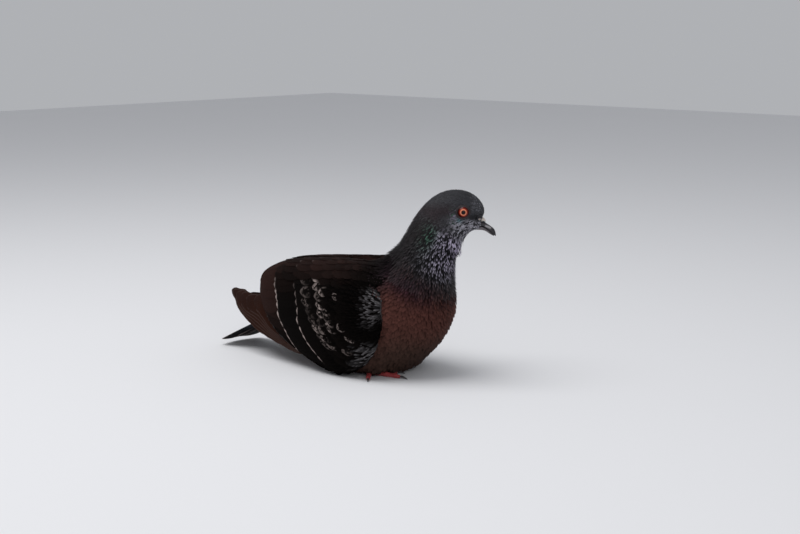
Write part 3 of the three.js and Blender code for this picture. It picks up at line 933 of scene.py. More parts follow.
def laid_on_wing(side, x, angle, degree):
    """A place of the chart, kept on the wing, or a little way over the slot between the wings."""
    x = np.clip(x, np.interp(angle, REAR_ANGLES, REAR[side]), WING_FRONT)
    top = np.interp(x, STATIONS, HIGHEST[side])
    place, facing = wing_at(side, x, np.clip(angle, np.interp(x, STATIONS, LOWEST[side]), top))
    over = min(max(angle - top, 0) * degree, SLOT_REACH) * MM
    facing = unit(facing + np.array([0, 0, VANE_TILT]) * over)
    return place - np.array([0, SIDES[side], 0.2]) * over, facing


# Tips as (x, angle) from the back down, then the feathers' length and width in mm, how steeply they
# rise to the rear at either end of the row in degrees, how deep their roots are, and how pale each
# feather's rim is, 0 to 9, from the back down, with one figure for each feather.
FLECKED = dict(broken=1.25, bare=1.5)
COVERT_ROWS = {
    "greater": dict(
        tips=[(-110, 52), (-106, 40), (-102.6, 30), (-97.5, 19), (-95, 9), (-92.5, -6), (-86, -17),
              (-80, -25), (-73, -31), (-66, -39), (-54, -45)],
        length=44, width=13.5, rise=(-6, 4), deep=1.3, pale="002479999999974", square=12, fringe=2.4,
    ),
    "median": dict(
        tips=[(-84, 46), (-77, 33), (-70, 20), (-66, 8), (-64, -6), (-58, -17), (-50, -25), (-42, -31),
              (-30, -41)],
        length=36, width=12, rise=(-6, 0), deep=1.2, pale="0012358999960", square=12, fringe=2.1,
    ),
    "lesser 1": dict(
        tips=[(-72, 48), (-66, 30), (-60, 16), (-52, 4), (-46, -5), (-39, -15), (-32, -22), (-22, -31),
              (-10, -42)],
        length=27, width=11, rise=(-7, -2), deep=1.1, pale="024313622000", fringe=5.0, **FLECKED,
    ),
    "lesser 2": dict(
        tips=[(-60, 48), (-52, 33), (-44, 19), (-39, 8), (-37, -4), (-34, -15), (-24, -24), (-8, -36)],
        length=22, width=9.5, rise=(-8, -8), deep=1.0, pale="087398259500", fringe=4.6, **FLECKED,
    ),
    "lesser 3": dict(
        tips=[(-48, 46), (-41, 28), (-34, 12), (-30, 2), (-27, -6), (-20, -16), (-10, -26)],
        length=19, width=8.5, rise=(-9, -14), deep=0.9, pale="00807396004", fringe=4.2, **FLECKED,
    ),
    "lesser 4": dict(
        tips=[(-34, 46), (-26, 27), (-19, 10), (-16, -4), (-9, -12), (-2, -18)],
        length=16, width=8, rise=(-10, -18), deep=0.8, pale="004006070", fringe=3.8, **FLECKED,
    ),
}
TERTIAL_ROWS = {
    "secondaries": dict(
        tips=[(-127, 14), (-122, -2), (-113, -17), (-102, -27), (-88, -34), (-74, -38), (-60, -42)],
        length=62, width=16, rise=(0, 9), deep=2.4, pale="1111111111",
    ),
    "tertials": dict(
        tips=[(-129, 71), (-131, 56), (-130, 42), (-127, 28)],
        length=60, width=22, rise=(-3, -5), deep=1.6, pale="00000", droop=5,
    ),
}
SCAPULARS = [  # how far back each row's tips lie, its length and width, and its pale rims
    (-112, 44, 19, "00000"), (-92, 38, 17, "01210"), (-75, 32, 15, "02200"), (-60, 28, 13, "00000"),
    (-47, 24, 11.5, "00000"), (-35, 21, 10.5, "00000"), (-24, 18, 9.5, "00000"),
    (-14, 16, 8.5, "00000"), (-5, 14, 8, "00000"),
]
SCAPULAR_ROWS = [
    dict(
        tips=[(x, 85), (x + 2, 72), (x + 7, 58), (x + 14, 44)],
        length=length, width=width, rise=(0, -8), deep=0.8, pale=pale, uneven=1.2,
    )
    for x, length, width, pale in SCAPULARS
]
PALE_FROM, PALE_FULL = 0.6, 0.8  # where along a vane its pale rim starts, and is full
ROLL = 0.05  # how steeply each vane rises to its lower edge, which lies on its neighbour
TURN = 4  # degrees to either side of a tip, over which the length of a degree is measured


def lay_row(coat_made, side, row, stations, raised=0.0):
    """Lays one row of a wing, from the back down, each feather over the one below it. The vanes
    follow the wing's curve, and their ends are slanted along the row's own line."""
    count, columns = len(row["pale"]), coat_made.columns
    t = 1 - (1 - np.linspace(0, 1, stations)) ** 1.6
    tips = spline(row["tips"], count)
    slope = np.gradient(tips[:, 0]) / np.gradient(tips[:, 1])
    half = row["width"] / 2 * round_tip(t, root=0.4, widest=0.6, power=row.get("square", 3.2))
    half = half[None] * DRAWS.uniform(0.95, 1.05, (count, 1))
    to_top = coat_made.across * -SIDES[side]  # -1 at each vane's lower edge and 1 at its upper one
    places, facings = np.empty((2, count, stations, columns, 3))
    for i, (tip_x, tip_angle) in enumerate(tips):
        share = i / (count - 1)
        rise = math.radians(row["rise"][0] + share * (row["rise"][1] - row["rise"][0]) + DRAWS.normal())
        tip_x += DRAWS.normal() * row.get("uneven", 0.5)
        reach = row["length"] * DRAWS.uniform(0.95, 1.05) * (1 - t)
        above, below = (wing_at(side, tip_x, tip_angle + turn)[0] for turn in (TURN, -TURN))
        degree = np.linalg.norm(above - below) / (2 * TURN * MM)
        for k in range(stations):
            x = tip_x + reach[k] * math.cos(rise)
            angle = tip_angle - reach[k] * math.sin(rise) / degree
            for c in range(columns):
                up = to_top[c] * half[i, k]
                edge_x = x + slope[i] / degree * up * t[k]
                places[i, k, c], facings[i, k, c] = laid_on_wing(side, edge_x, angle + up / degree, degree)
    for _ in range(2):
        facings[:, 1:-1] = unit(facings[:, :-2] + facings[:, 1:-1] + facings[:, 2:])
        facings[:, :, 1:-1] = unit(facings[:, :, :-2] + facings[:, :, 1:-1] + facings[:, :, 2:])
        places[:, 1:-1] = (places[:, :-2] + 2 * places[:, 1:-1] + places[:, 2:]) / 4
    height = raised - row["deep"] * (1 - t) ** 0.9 + DRAWS.uniform(-0.05, 0.05, (count, 1)) * t
    height = height[..., None] - ROLL * to_top * half[..., None]
    places = places + facings * (height * MM)[..., None]
    sag = row.get("droop", 0) * smooth(tips[:, 1], 50, 74)[:, None] * t**3
    places[..., 2] -= sag[..., None] * MM
    thick = np.broadcast_to((0.3 - 0.14 * t) * MM, half.shape)
    tint = plumage(places[:, -2, columns // 2], DRAWS.random(count), np.ones(count))[:, None]
    tint = tint * DRAWS.uniform(0.85, 1.15, (count, 1, 1))
    tint = tint * (0.75 + 0.25 * smooth(t, 0.5, 0.95))[None, :, None]
    pale = np.array([int(c) for c in row["pale"]])[:, None] / 9 * smooth(t, PALE_FROM, PALE_FULL)
    broken = row.get("broken", 0) * DRAWS.random((count, stations, columns))
    pale = pale[..., None] * np.maximum(1 - broken, 0)
    fringe, bare = row.get("fringe", 1.2) * MM, row.get("bare", 3) * MM
    bake = skin_map(places[:, 0, columns // 2]) if columns < FLIGHT_COLUMNS else None
    coat_made.add((places, facings), half * MM, thick, tint, pale, fringe, bare, bake=bake)


WRIST = {side: np.array([28, 37 * sign, 60]) * MM for side, sign in SIDES.items()}
WRIST_REACH = 28 * MM
WRIST_REAR = -24 * MM  # the small coverts end here


def wing_lie(side):
    """Small coverts fan out from the bend of the wing, and then point to the rear."""

    def headings(places):
        away = places - WRIST[side]
        near = 0.85 * np.exp(-np.linalg.norm(away, axis=1, keepdims=True) / WRIST_REACH)
        return unit(near * unit(away) + (1 - near) * np.array([-1, 0, 0.03]))

    return headings


def marginal_spacing(places):
    """How far apart the small coverts at the bend of the wing grow."""
    return (1.3 + 1.7 * smooth(-places[:, 0], -18 * MM, 12 * MM)) * MM


def marginal_coverts(name, side):
    """The small scaly coverts over the bend of one wing."""
    coat_made = Coat(columns=3)
    roots = scatter(whole_form, marginal_spacing)
    roots = roots[(roots[:, 0] > WRIST_REAR) & (SIDES[side] * roots[:, 1] > 0)]
    roots = roots[wing_share(roots) > 0.5]
    count = len(roots)
    heading = wing_lie(side)
    spacing = marginal_spacing(roots)
    length = 4.2 * spacing * DRAWS.uniform(0.85, 1.2, count)
    start = unit(heading(roots) + 0.12 * DRAWS.normal(size=roots.shape))
    t = SMALL_STATIONS
    places, facings = lay_shafts(roots, start, length, wing_forms[side], t, heading)
    lift = -1.1 * MM * (1 - t) ** 0.8 + 0.15 * MM * t
    places = places + facings * lift[:, None]
    half = 0.68 * spacing[:, None] * pointed_tip(t) * DRAWS.uniform(0.85, 1.1, (count, 1))
    thick = np.broadcast_to(0.14 * MM * (1 - 0.4 * t), half.shape)
    tint = plumage(places[:, 4], DRAWS.random(count), np.ones(count))[:, None]
    tint = tint * DRAWS.uniform(0.75, 1.25, (count, 1, 1)) * (0.5 + 0.5 * smooth(t, 0.5, 0.8))[None, :, None]
    sheet = coat_made.sheet(places, facings, half, camber=0.06)
    coat_made.add(sheet, half, thick, tint, stroke=0.5, bake=skin_map(roots))
    return coat_made.build(name)


COVERT_STATIONS, FLIGHT_STATIONS = 9, 20
FLIGHT_COLUMNS = 9
wing_pieces = []
for side in SIDES:
    coverts = Coat(columns=5)
    for row in COVERT_ROWS.values():
        lay_row(coverts, side, row, COVERT_STATIONS)
    for row in SCAPULAR_ROWS:
        lay_row(coverts, side, row, COVERT_STATIONS, raised=0.3 if side == "left" else 0.1)
    flights = Coat(columns=FLIGHT_COLUMNS)
    for row in TERTIAL_ROWS.values():
        lay_row(flights, side, row, FLIGHT_STATIONS)
    wing_pieces.append(coverts.build(f"coverts_{side}"))
    wing_pieces.append(flights.build(f"secondaries_{side}"))
    wing_pieces.append(marginal_coverts(f"marginal_coverts_{side}", side))

# %% [markdown]
# The long outer flight feathers close like a fan under the coverts, the longest one lowest. Each
# shorter one lies over it and shows its outer edge, so the closed wing tip has long fine steps.

# %% Primaries
PRIMARY_TIPS = [-179.5, -176, -170, -162, -152, -140]
PRIMARY_ROOT = -62
PRIMARY_HALF = 8.0
PRIMARY_TIP_SPAN = 11  # the least span of the closed tip, which ends bluntly
LEFT_TIP_DROP = 7  # how much lower the left wing's tip lies than the right one's
PRIMARY_STEP = 0.34  # how much further out each one lies than the one under it
PRIMARY_STATIONS = 26
TIP_RISE = 1.4 * MM  # fills out the closed tip's upper edge
TIP_RISE_AT, TIP_RISE_REACH = -157, 10  # the station where it is fullest, and how far it reaches


def blade_edges(surface, sign, x):
    """The lowest and the highest place of the closed wing tip's outer face at a station."""
    rays = (np.array([x, sign * 90, z]) * MM for z in np.arange(2, 62, 0.8))
    met = (surface.struck(start, np.array([0, -sign, 0])) for start in rays)
    found = [hit[0] for hit in met if hit is not None]
    return found[0], found[-1]


def primaries(name, side):
    """The closed fan of one wing tip, laid from its longest blade to its shortest."""
    sign = SIDES[side]
    surface = as_guide(copy_of("wing_tip_form", f"wing_tip_{side}"))
    stations = np.linspace(-178.5, -68, 40)
    low, high = np.array([blade_edges(surface, sign, x) for x in stations]).transpose(1, 0, 2)
    high[:, 2] += TIP_RISE * np.exp(-(((high[:, 0] / MM - TIP_RISE_AT) / TIP_RISE_REACH) ** 2))
    coat_made = Coat(columns=FLIGHT_COLUMNS)
    count = len(PRIMARY_TIPS)
    t = 1 - (1 - np.linspace(0, 1, PRIMARY_STATIONS)) ** 1.3
    for j, tip in enumerate(PRIMARY_TIPS):
        x = PRIMARY_ROOT + (tip - PRIMARY_ROOT) * t
        lower, upper = (
            np.stack([np.interp(x * MM, stations * MM, column) for column in edge.T], axis=1)
            for edge in (low, high)
        )
        span = np.maximum(np.linalg.norm(upper - lower, axis=1), PRIMARY_TIP_SPAN * MM)
        room = np.minimum(PRIMARY_HALF * MM, span / 2)
        still_there = np.interp(x, PRIMARY_TIPS, range(count))  # how many reach this far back
        share = np.clip(j / np.maximum(still_there, 0.5), 0, 1)
        share = (room + (span - 2 * room) * share) / span
        upward = unit(upper - lower)
        middle = (lower + upper) / 2 + upward * (span * (share - 0.5))[:, None]
        middle[:, 0] = x * MM
        middle[:, 2] -= (side == "left") * LEFT_TIP_DROP * MM * t
        facing = unit(np.cross(upward, [sign, 0, 0]))
        facing *= np.sign(facing[:, 1:2]) * sign
        out = 1.1 * MM * (1 - t) + (j - count + 1) * PRIMARY_STEP * MM
        middle = middle + facing * out[:, None]
        half = room * round_tip(t, root=0.8, widest=0.75, power=3.0)
        thick = (0.5 - 0.25 * t) * MM
        tint = mixed(SHADES["quill"][None], SHADES["umber"][None], 0.6 * smooth(t, 0.75, 1))
        tint = tint * DRAWS.uniform(0.88, 1.12)
        coat_made.add_one(middle, facing, half, thick, tint, 0.06, 0.04 * sign, pale=0.07, fringe=MM)
    return coat_made.build(name)


wing_tips = {side: primaries(f"primaries_{side}", side) for side in SIDES}

# %% [markdown]
# ## Tail
# Twelve broad feathers lie on each other like a closed hand of cards, the middle pair on top.
# They are slate, with a black band at the end, and the outer ones have pale rims near their ends.

# %% Tail feathers
TAIL_ROOT, TAIL_TIP = (-96, 47.2), (-186, 3.3)
TAIL_SPREAD_ROOT = [0.8, 2.4, 4, 5.6, 7.2, 8.6]
TAIL_SPREAD_TIP = [1.6, 5.2, 8.4, 11, 13, 14.4]
TAIL_HALF = 7.6
TAIL_ROLL = 0.04  # how steeply the tail falls from its right edge to its left one
TAIL_STEP = 0.26  # how much lower each pair lies than the one on it, in mm at the tip
TAIL_STATIONS = 22
TAIL_PALE = (0, 0, 0.15, 0.5, 0.8, 1)  # how pale the rims are, from the middle pair out
TAIL_FACING = unit(np.array([-0.43, 0.0, 0.9]))


def tail_feathers():
    """Both halves of the tail, each laid from its outermost feather to its middle one."""
    coat_made = Coat(columns=FLIGHT_COLUMNS)
    t = 1 - (1 - np.linspace(0, 1, TAIL_STATIONS)) ** 1.4
    for sign in (-1, 1):
        for i in range(6)[::-1]:
            end = 1 - 0.006 * i
            x = TAIL_ROOT[0] + (TAIL_TIP[0] - TAIL_ROOT[0]) * t * end
            z = TAIL_ROOT[1] + (TAIL_TIP[1] - TAIL_ROOT[1]) * t * end
            y = sign * (TAIL_SPREAD_ROOT[i] + (TAIL_SPREAD_TIP[i] - TAIL_SPREAD_ROOT[i]) * t)
            z = z - TAIL_ROLL * y - TAIL_STEP * i * (0.4 + 0.6 * t) + 0.1 * sign
            places = np.stack([x, y, z], axis=1) * MM
            facing = np.tile(TAIL_FACING, (TAIL_STATIONS, 1))
            facing[:, 1] = TAIL_ROLL
            half = TAIL_HALF * MM * round_tip(t, root=0.5, widest=0.93, power=4.5)
            thick = (0.5 - 0.28 * t) * MM
            tint = mixed(SHADES["tail"][None], SHADES["band"][None], smooth(t, 0.62, 0.78))
            tint = tint * DRAWS.uniform(0.9, 1.1)
            pale = TAIL_PALE[i] * smooth(t, 0.68, 0.92)[None, :, None]
            facing = unit(facing)
            coat_made.add_one(
                places, facing, half, thick, tint, 0.05, 0.035 * sign, pale=pale, fringe=1.3 * MM
            )
    return coat_made.build("tail_feathers")


tail_piece = tail_feathers()

# %% [markdown]
# ## Eyes
# The eyeball is a ball with a slightly bulging clear front. Its colours are rings round the axis
# that it looks along: a black pupil, a pale orange ring, and dark red out to the lid. The lid is
# a thin fold of bare skin that hugs the ball and runs out into the feathered cheek.

# %% Eyes and lids
CORNEA_REACH = 3.9 * MM
CORNEA_BULGE = 0.45 * MM


def eyeball(side):
    """A ball with its pole on the axis that it looks along, and a clear bulge there."""
    bpy.ops.object.select_all(action="DESELECT")
    bpy.ops.mesh.primitive_uv_sphere_add(segments=64, ring_count=48, radius=EYE_RADIUS)
    made = bpy.context.object
    made.name = f"eyeball_{side}"
    local = points_of(made)
    in_front = local[:, 2] > 0
    ring = np.linalg.norm(local[:, :2], axis=1)
    local[:, 2] += np.where(in_front, CORNEA_BULGE * np.clip(1 - (ring / CORNEA_REACH) ** 2, 0, 1), 0)
    axes = np.array([np.cross(UP, LOOK[side]), UP, LOOK[side]])
    move_points(made, EYE_CENTRES[side] + local @ axes)
    iris = np.stack([local[:, 0], local[:, 1], np.where(in_front, 0, MARK_UNIT)], axis=1)
    paint(made.data, "iris", iris / MARK_UNIT)
    return soften(made)


# The lid's section: how far from the axis, what share of the way it is from the ball's face to the
# cheek's, and how far proud of that it is, in mm.
LID_SECTION = [(4.15, 0, -0.5), (4.2, 0, 0.05), (4.3, 0, 0.26), (4.5, 0.1, 0.38), (4.8, 0.45, 0.32),
               (5.2, 0.85, 0.2), (5.7, 1, 0), (6.3, 1, -0.5), (6.2, 1, -1.6), (5.0, 0.6, -1.7)]
LID_SEGMENTS = 72
LID_FOLD = 0.06  # how deep the lid's wrinkles are, in mm
LID_WRINKLES = 23
LID_BALL = 4.3  # mm from the axis, where the ball goes under the lid
LID_OPENING = 5.5  # mm from the axis, up to which the lid is a little longer than it is high
CHEEK_RING = 6.9  # mm from the axis, where the cheek's height is read


def eyelid(side):
    """A wrinkled fold round one eye, whose outer edge follows the cheek."""
    bpy.ops.object.select_all(action="DESELECT")
    bpy.ops.mesh.primitive_torus_add(
        major_segments=LID_SEGMENTS, minor_segments=len(LID_SECTION), major_radius=5 * MM, minor_radius=MM
    )
    made = bpy.context.object
    made.name = f"eyelid_{side}"
    look, centre = LOOK[side], EYE_CENTRES[side]
    angles = 2 * math.pi * np.arange(LID_SEGMENTS) / LID_SEGMENTS
    spokes = np.cos(angles)[:, None] * np.cross(UP, look) + np.sin(angles)[:, None] * UP
    cheek = np.empty(LID_SEGMENTS)
    for i, spoke in enumerate(spokes):
        met = whole_form.struck(centre + spoke * CHEEK_RING * MM + 12 * MM * look, -look)
        cheek[i] = (met[0] - centre) @ look / MM
    for _ in range(12):
        cheek = (np.roll(cheek, 1) + 2 * cheek + np.roll(cheek, -1)) / 4
    ball = math.sqrt((EYE_RADIUS / MM) ** 2 - LID_BALL**2)
    upper, under = (np.maximum(0, sign * np.sin(angles)) ** 2 for sign in (1, -1))
    almond = (1 - 0.05 * upper - 0.02 * under) * (1 + 0.05 * np.cos(angles) ** 6)
    places = np.empty((LID_SEGMENTS, len(LID_SECTION), 3))
    for k, (away, share, proud) in enumerate(LID_SECTION):
        fold = LID_FOLD * np.sin(LID_WRINKLES * angles + 2 * away) * (proud > 0.2)
        height = ball + (cheek - ball) * share + proud + fold
        away = away * (almond if away < LID_OPENING else np.ones(LID_SEGMENTS))
        places[:, k] = centre + (spokes * away[:, None] + look * height[:, None]) * MM
    move_points(made, places.reshape(-1, 3))
    edit(made, bpy.ops.mesh.normals_make_consistent, inside=False)
    apply(made, "SUBSURF", levels=1, render_levels=1)
    return soften(made)


eyeballs = {side: eyeball(side) for side in SIDES}
eyelids = {side: eyelid(side) for side in SIDES}

# %% [markdown]
# ## Bill and cere
# The bill is horn over bone. It is modelled from the solids, melted into one smooth form, and then
# cut as a carver would: a slit of a nostril under each half of the cere.

# %% Bill and cere
BILL_VOXEL = 0.28 * MM
NOSTRIL = [(80.2, 2.4, 121.3), (76.2, 3.2, 122.8)]  # its front and rear end on the straight head
NOSTRIL_DEPTH = 0.7 * MM
NOSTRIL_HALF = 0.42 * MM


def from_segment(places, start, end):
    """How far places are from a straight segment."""
    along = end - start
    t = np.clip((places - start) @ along / (along @ along), 0, 1)
    return np.linalg.norm(places - start - t[:, None] * along, axis=1)


def carve(made, start, end, half, depth):
    """Presses a groove into a mesh along a segment."""
    places = points_of(made)
    away = from_segment(places, start, end)
    move_points(made, places - normals_of(made) * (depth * np.exp(-((away / half) ** 2)))[:, None])


BILL_SHIFT = -4 * MM * HEAD_AHEAD  # the bill's root goes on under the feathers
bill_upper, bill_lower, cere = (
    smooth_form(name, node_name, voxel=BILL_VOXEL, rounds=rounds, shift=shift)
    for name, node_name, rounds, shift in (
        ("bill_upper_horn", "bill_upper", 5, BILL_SHIFT),
        ("bill_lower_horn", "bill_lower", 4, BILL_SHIFT),
        ("cere_skin", "cere", 4, CERE_SHIFT),
    )
)
for sign in (-1, 1):
    front, rear = (from_head(x, sign * y, z) for x, y, z in NOSTRIL)
    carve(bill_upper, front, rear, NOSTRIL_HALF, NOSTRIL_DEPTH)
    carve(cere, front, rear, NOSTRIL_HALF, 0.5 * NOSTRIL_DEPTH)
# The lower half closes up into the upper one, whose edge overhangs it.
places, normals = points_of(bill_lower), normals_of(bill_lower)
x = to_head(places)[:, 0]
closed = smooth(normals[:, 2], 0.1, 0.6) * smooth(x, 74 * MM, 76 * MM)
longer = 0.28 * np.maximum(x - 78 * MM, 0)  # its tip reaches up behind the hook
forward = HEAD_AHEAD - 0.45 * UP
move_points(bill_lower, places + closed[:, None] * UP * 1.1 * MM + longer[:, None] * forward)
# Where a pale highlight is painted along each side of the upper half, on the straight head.
BILL_HIGHLIGHT_LINE = [(79.3, 2.4, 120.5), (82.7, 1.9, 119)]
GAPE = np.array([(71.6, 125.5), (78, 119), (85.2, 113.8)])  # x and z of the line where it closes
for made, horn in ((bill_upper, "29252a"), (bill_lower, "5f585c")):
    places = points_of(made)
    x, _, z = to_head(places).T / MM
    colour = layered(np.tile(linear(horn), (len(x), 1)), (linear("17151a"), smooth(x, 81, 85)))
    for sign in (-1, 1):
        start, end = (from_head(a, sign * b, c) for a, b, c in BILL_HIGHLIGHT_LINE)
        painted_highlight = np.exp(-((from_segment(places, start, end) / (0.7 * MM)) ** 2))
        colour = layered(colour, (linear("b4b0b2"), 0.8 * painted_highlight))
    flat = np.stack([x, z], axis=1)
    to_gape = np.minimum(*(from_segment(flat, a, b) for a, b in zip(GAPE, GAPE[1:])))
    # A dark line of painted shade along the gape, where the upper half overhangs the lower.
    colour = layered(colour, (linear("0c0a0c"), 0.85 * np.exp(-((to_gape / 0.4) ** 2))))
    paint(made.data, "tint", colour)

# %% [markdown]
# ## Feet
# A pigeon's toes are crimson, with a row of plates across the top of each and soft pads below.
# The plates follow each toe's own line, which is read from its solid.

# %% Feet and claws
FOOT_VOXEL = 0.36 * MM
PLATE_SPACING = 1.5 * MM
PLATE_PROUD = 0.16 * MM
TOES = ("middle", "inner", "outer", "hind")


def toe_line(node_name):
    """The middle and direction of a toe's solid."""
    places = np.array([v.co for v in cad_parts[node_name].data.vertices])
    middle = places.mean(0)
    return middle, np.linalg.svd(places - middle, full_matrices=False)[2][0]


def foot(side):
    """One foot's skin, with a row of plates raised along the top of each of its solids."""
    names = [f"leg_{side}"] + [f"toe_{toe}_{side}" for toe in TOES]
    made = smooth_form(f"foot_{side}", *names, voxel=FOOT_VOXEL, rounds=2)
    places, normals = points_of(made), normals_of(made)
    best = np.full(len(places), 1e9)
    plate = np.zeros(len(places))
    for name in names:
        middle, heading = toe_line(name)
        along = (places - middle) @ heading
        away = np.linalg.norm(places - middle - along[:, None] * heading, axis=1)
        nearer = away < best
        best = np.minimum(best, away)
        wave = np.abs(np.sin(math.pi * along / PLATE_SPACING)) ** 0.6
        plate = np.where(nearer, wave, plate)
    upper = smooth(normals[:, 2], -0.1, 0.5)
    places = places + normals * ((plate - 0.6) * PLATE_PROUD * upper)[:, None]
    places[:, 2] = np.maximum(places[:, 2], 0)
    move_points(made, places)
    paint(made.data, "tint", np.stack([plate, upper, 0 * plate], axis=1))
    return made


def claw(toe, side):
    """One claw, rounded from its solid."""
    made = copy_of(f"nail_{toe}_{side}", f"claw_{toe}_{side}")
    apply(made, "SUBSURF", levels=2, render_levels=2)
    return soften(made)


feet = {side: foot(side) for side in SIDES}
claws = {(toe, side): claw(toe, side) for toe in TOES for side in SIDES}
print("foot points:", len(feet["right"].data.vertices))

# %% [markdown]
# ## Materials
# One small function adds a shader node, with its settings, and links or sets its inputs. The others
# build what many materials share on it.

# %% Helpers for shader nodes


def node(tree, kind, inputs=None, **settings):
    """Adds a shader node. Inputs are given by name or number, as a value or another's output."""
    made = tree.nodes.new("ShaderNode" + kind)
    for key, value in settings.items():
        setattr(made, key, value)
    for key, value in (inputs or {}).items():
        if isinstance(value, bpy.types.NodeSocket):
            tree.links.new(value, made.inputs[key])
        else:
            made.inputs[key].default_value = value
    return made


def material(name):
    """A new material with an empty node tree, and that tree."""
    made = bpy.data.materials.new(name)
    made.use_nodes = True
    made.node_tree.nodes.clear()
    return made, made.node_tree


def finish_surface(tree, **inputs):
    """Ends a material in one Principled shader with these inputs."""
    named = {key.replace("_", " ").title().replace("Ior", "IOR"): v for key, v in inputs.items()}
    shader = node(tree, "BsdfPrincipled", named)
    node(tree, "OutputMaterial", {"Surface": shader.outputs[0]})
    return shader


def sum_up(tree, operation, *values):
    """One Math node."""
    return node(tree, "Math", dict(enumerate(values)), operation=operation).outputs[0]


def painted(tree, name):
    """The colour that is painted on a piece under this name."""
    return node(tree, "Attribute", attribute_name=name).outputs["Color"]


def texture(tree, kind, scale, **settings):
    """A texture in the object's own space, with its features about 1 / scale metres apart."""
    place = node(tree, "TexCoord").outputs["Object"]
    return node(tree, "Tex" + kind, {"Vector": place, "Scale": scale} | settings).outputs[0]


def blend(tree, share, first, second):
    """A colour between two others, each an output or a hex value."""
    ends = [(*linear(end), 1) if isinstance(end, str) else end for end in (first, second)]
    return node(tree, "Mix", {0: share, 6: ends[0], 7: ends[1]}, data_type="RGBA").outputs[2]


def scaled(tree, colour, scale):
    """A colour made darker or lighter."""
    return node(tree, "VectorMath", {0: colour, "Scale": scale}, operation="SCALE").outputs[0]


def bumps(tree, height, strength, distance):
    """Fine relief, over a distance in millimetres."""
    inputs = {"Height": height, "Strength": strength, "Distance": distance * MM}
    return node(tree, "Bump", inputs).outputs[0]


def ramp(tree, value, start, end):
    """0 at the start value, 1 at the end one, and smooth between."""
    inputs = {"Value": value, "From Min": start, "From Max": end}
    return node(tree, "MapRange", inputs, interpolation_type="SMOOTHSTEP").outputs[0]


# %% [markdown]
# Plumage is keratin, as nails are, split into barbs that stand side by side along each shaft.
# That gives it a dull sheen along the barbs, a faint ribbed look and darker gaps at the rims.
# Real barbs are about 0.35 mm apart. They are drawn so on the head and neck, and up to 0.6 mm apart
# on the belly, the wings and the tail, where they have to show.

# %% Plumage
BARB_SLANT = 0.9  # mm back along the vane for each mm across it
BLOTCH_SCALE = 450.0  # blotches about 2 mm apart, which break up the widest pale rims


def plumage_material(name, roughness, gloss, barb_spacing, barb_depth):
    """Feathers of one kind. The barb spacing is in millimetres."""
    made, tree = material(name)
    marks = node(tree, "SeparateColor", {0: painted(tree, "marks")})
    vane = node(tree, "SeparateXYZ", {0: node(tree, "UVMap", uv_map="vane").outputs[0]})
    grain = texture(tree, "Noise", 900.0, Detail=3.0)
    away = sum_up(tree, "ABSOLUTE", vane.outputs["X"])
    barb_place = sum_up(tree, "SUBTRACT", vane.outputs["Y"], sum_up(tree, "MULTIPLY", away, BARB_SLANT))
    wobble = sum_up(tree, "MULTIPLY_ADD", grain, 1.5 * barb_spacing, barb_place)
    barbs = sum_up(tree, "SINE", sum_up(tree, "MULTIPLY", wobble, 2 * math.pi / barb_spacing))
    rim, fringe = (sum_up(tree, "MULTIPLY", marks.outputs[k], MARK_UNIT / MM) for k in (0, 2))
    blotch = texture(tree, "Noise", BLOTCH_SCALE, Detail=1.0)
    broken = sum_up(tree, "MAXIMUM", sum_up(tree, "MULTIPLY_ADD", fringe, 4.5, -8.5), 0.5)
    blotch = sum_up(tree, "MULTIPLY", sum_up(tree, "SUBTRACT", blotch, 0.5), broken)
    ragged = sum_up(tree, "MULTIPLY_ADD", grain, 1.2, sum_up(tree, "SUBTRACT", rim, 0.6))
    ragged = sum_up(tree, "ADD", ragged, blotch)
    edge = ramp(tree, ragged, fringe, sum_up(tree, "MULTIPLY", fringe, 0.6))
    shaft = ramp(tree, away, 0.45, 0.2)
    shade = sum_up(tree, "MULTIPLY_ADD", barbs, 0.10, 0.72)
    shade = sum_up(tree, "MULTIPLY_ADD", grain, 0.55, shade)
    shade = sum_up(tree, "MULTIPLY_ADD", shaft, -0.12, shade)
    dark = scaled(tree, painted(tree, "tint"), shade)
    pale = sum_up(tree, "MULTIPLY", edge, marks.outputs[1])
    colour = blend(tree, pale, dark, (*SHADES["pale"], 1))
    bump = bumps(tree, sum_up(tree, "MULTIPLY_ADD", grain, 0.6, barbs), barb_depth, 0.15)
    rough = sum_up(tree, "MULTIPLY_ADD", barbs, 0.05, roughness)
    finish_surface(
        tree, base_color=colour, roughness=rough, ior=1.54, specular_ior_level=gloss, normal=bump
    )
    return made


head_plumage = plumage_material("head feather keratin", 0.6, 0.15, 0.35, 0.25)
neck_plumage = plumage_material("hackle feather keratin", 0.45, 0.12, 0.35, 0.25)
body_plumage = plumage_material("contour feather keratin", 0.65, 0.04, 0.4, 0.25)
covert_plumage = plumage_material("covert feather keratin", 0.6, 0.01, 0.5, 0.3)
flight_plumage = plumage_material("flight feather keratin", 0.6, 0.02, 0.6, 0.3)

# %% [markdown]
# The skin shows only in slits between feathers. It carries the same markings, darkened there as
# painted shade, with fine creases.

# %% Skin material
skin_material, tree = material("feathered skin")
bump = bumps(tree, texture(tree, "Noise", 700.0, Detail=4.0), 0.5, 0.3)
painted_shade_tint = scaled(tree, painted(tree, "tint"), 0.55)
finish_surface(tree, base_color=painted_shade_tint, roughness=0.8, ior=1.45, normal=bump)
paint(skin.data, "tint", plumage(points_of(skin), np.full(len(skin_wing), 0.5), skin_wing))


def settle(made, shader, slot, *replaced):
    """Gives a piece its material, hangs it under the root body and hides the solids that it replaces."""
    made.data.materials.clear()
    made.data.materials.append(shader)
    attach(made, "root")
    if replaced:
        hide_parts(*replaced)


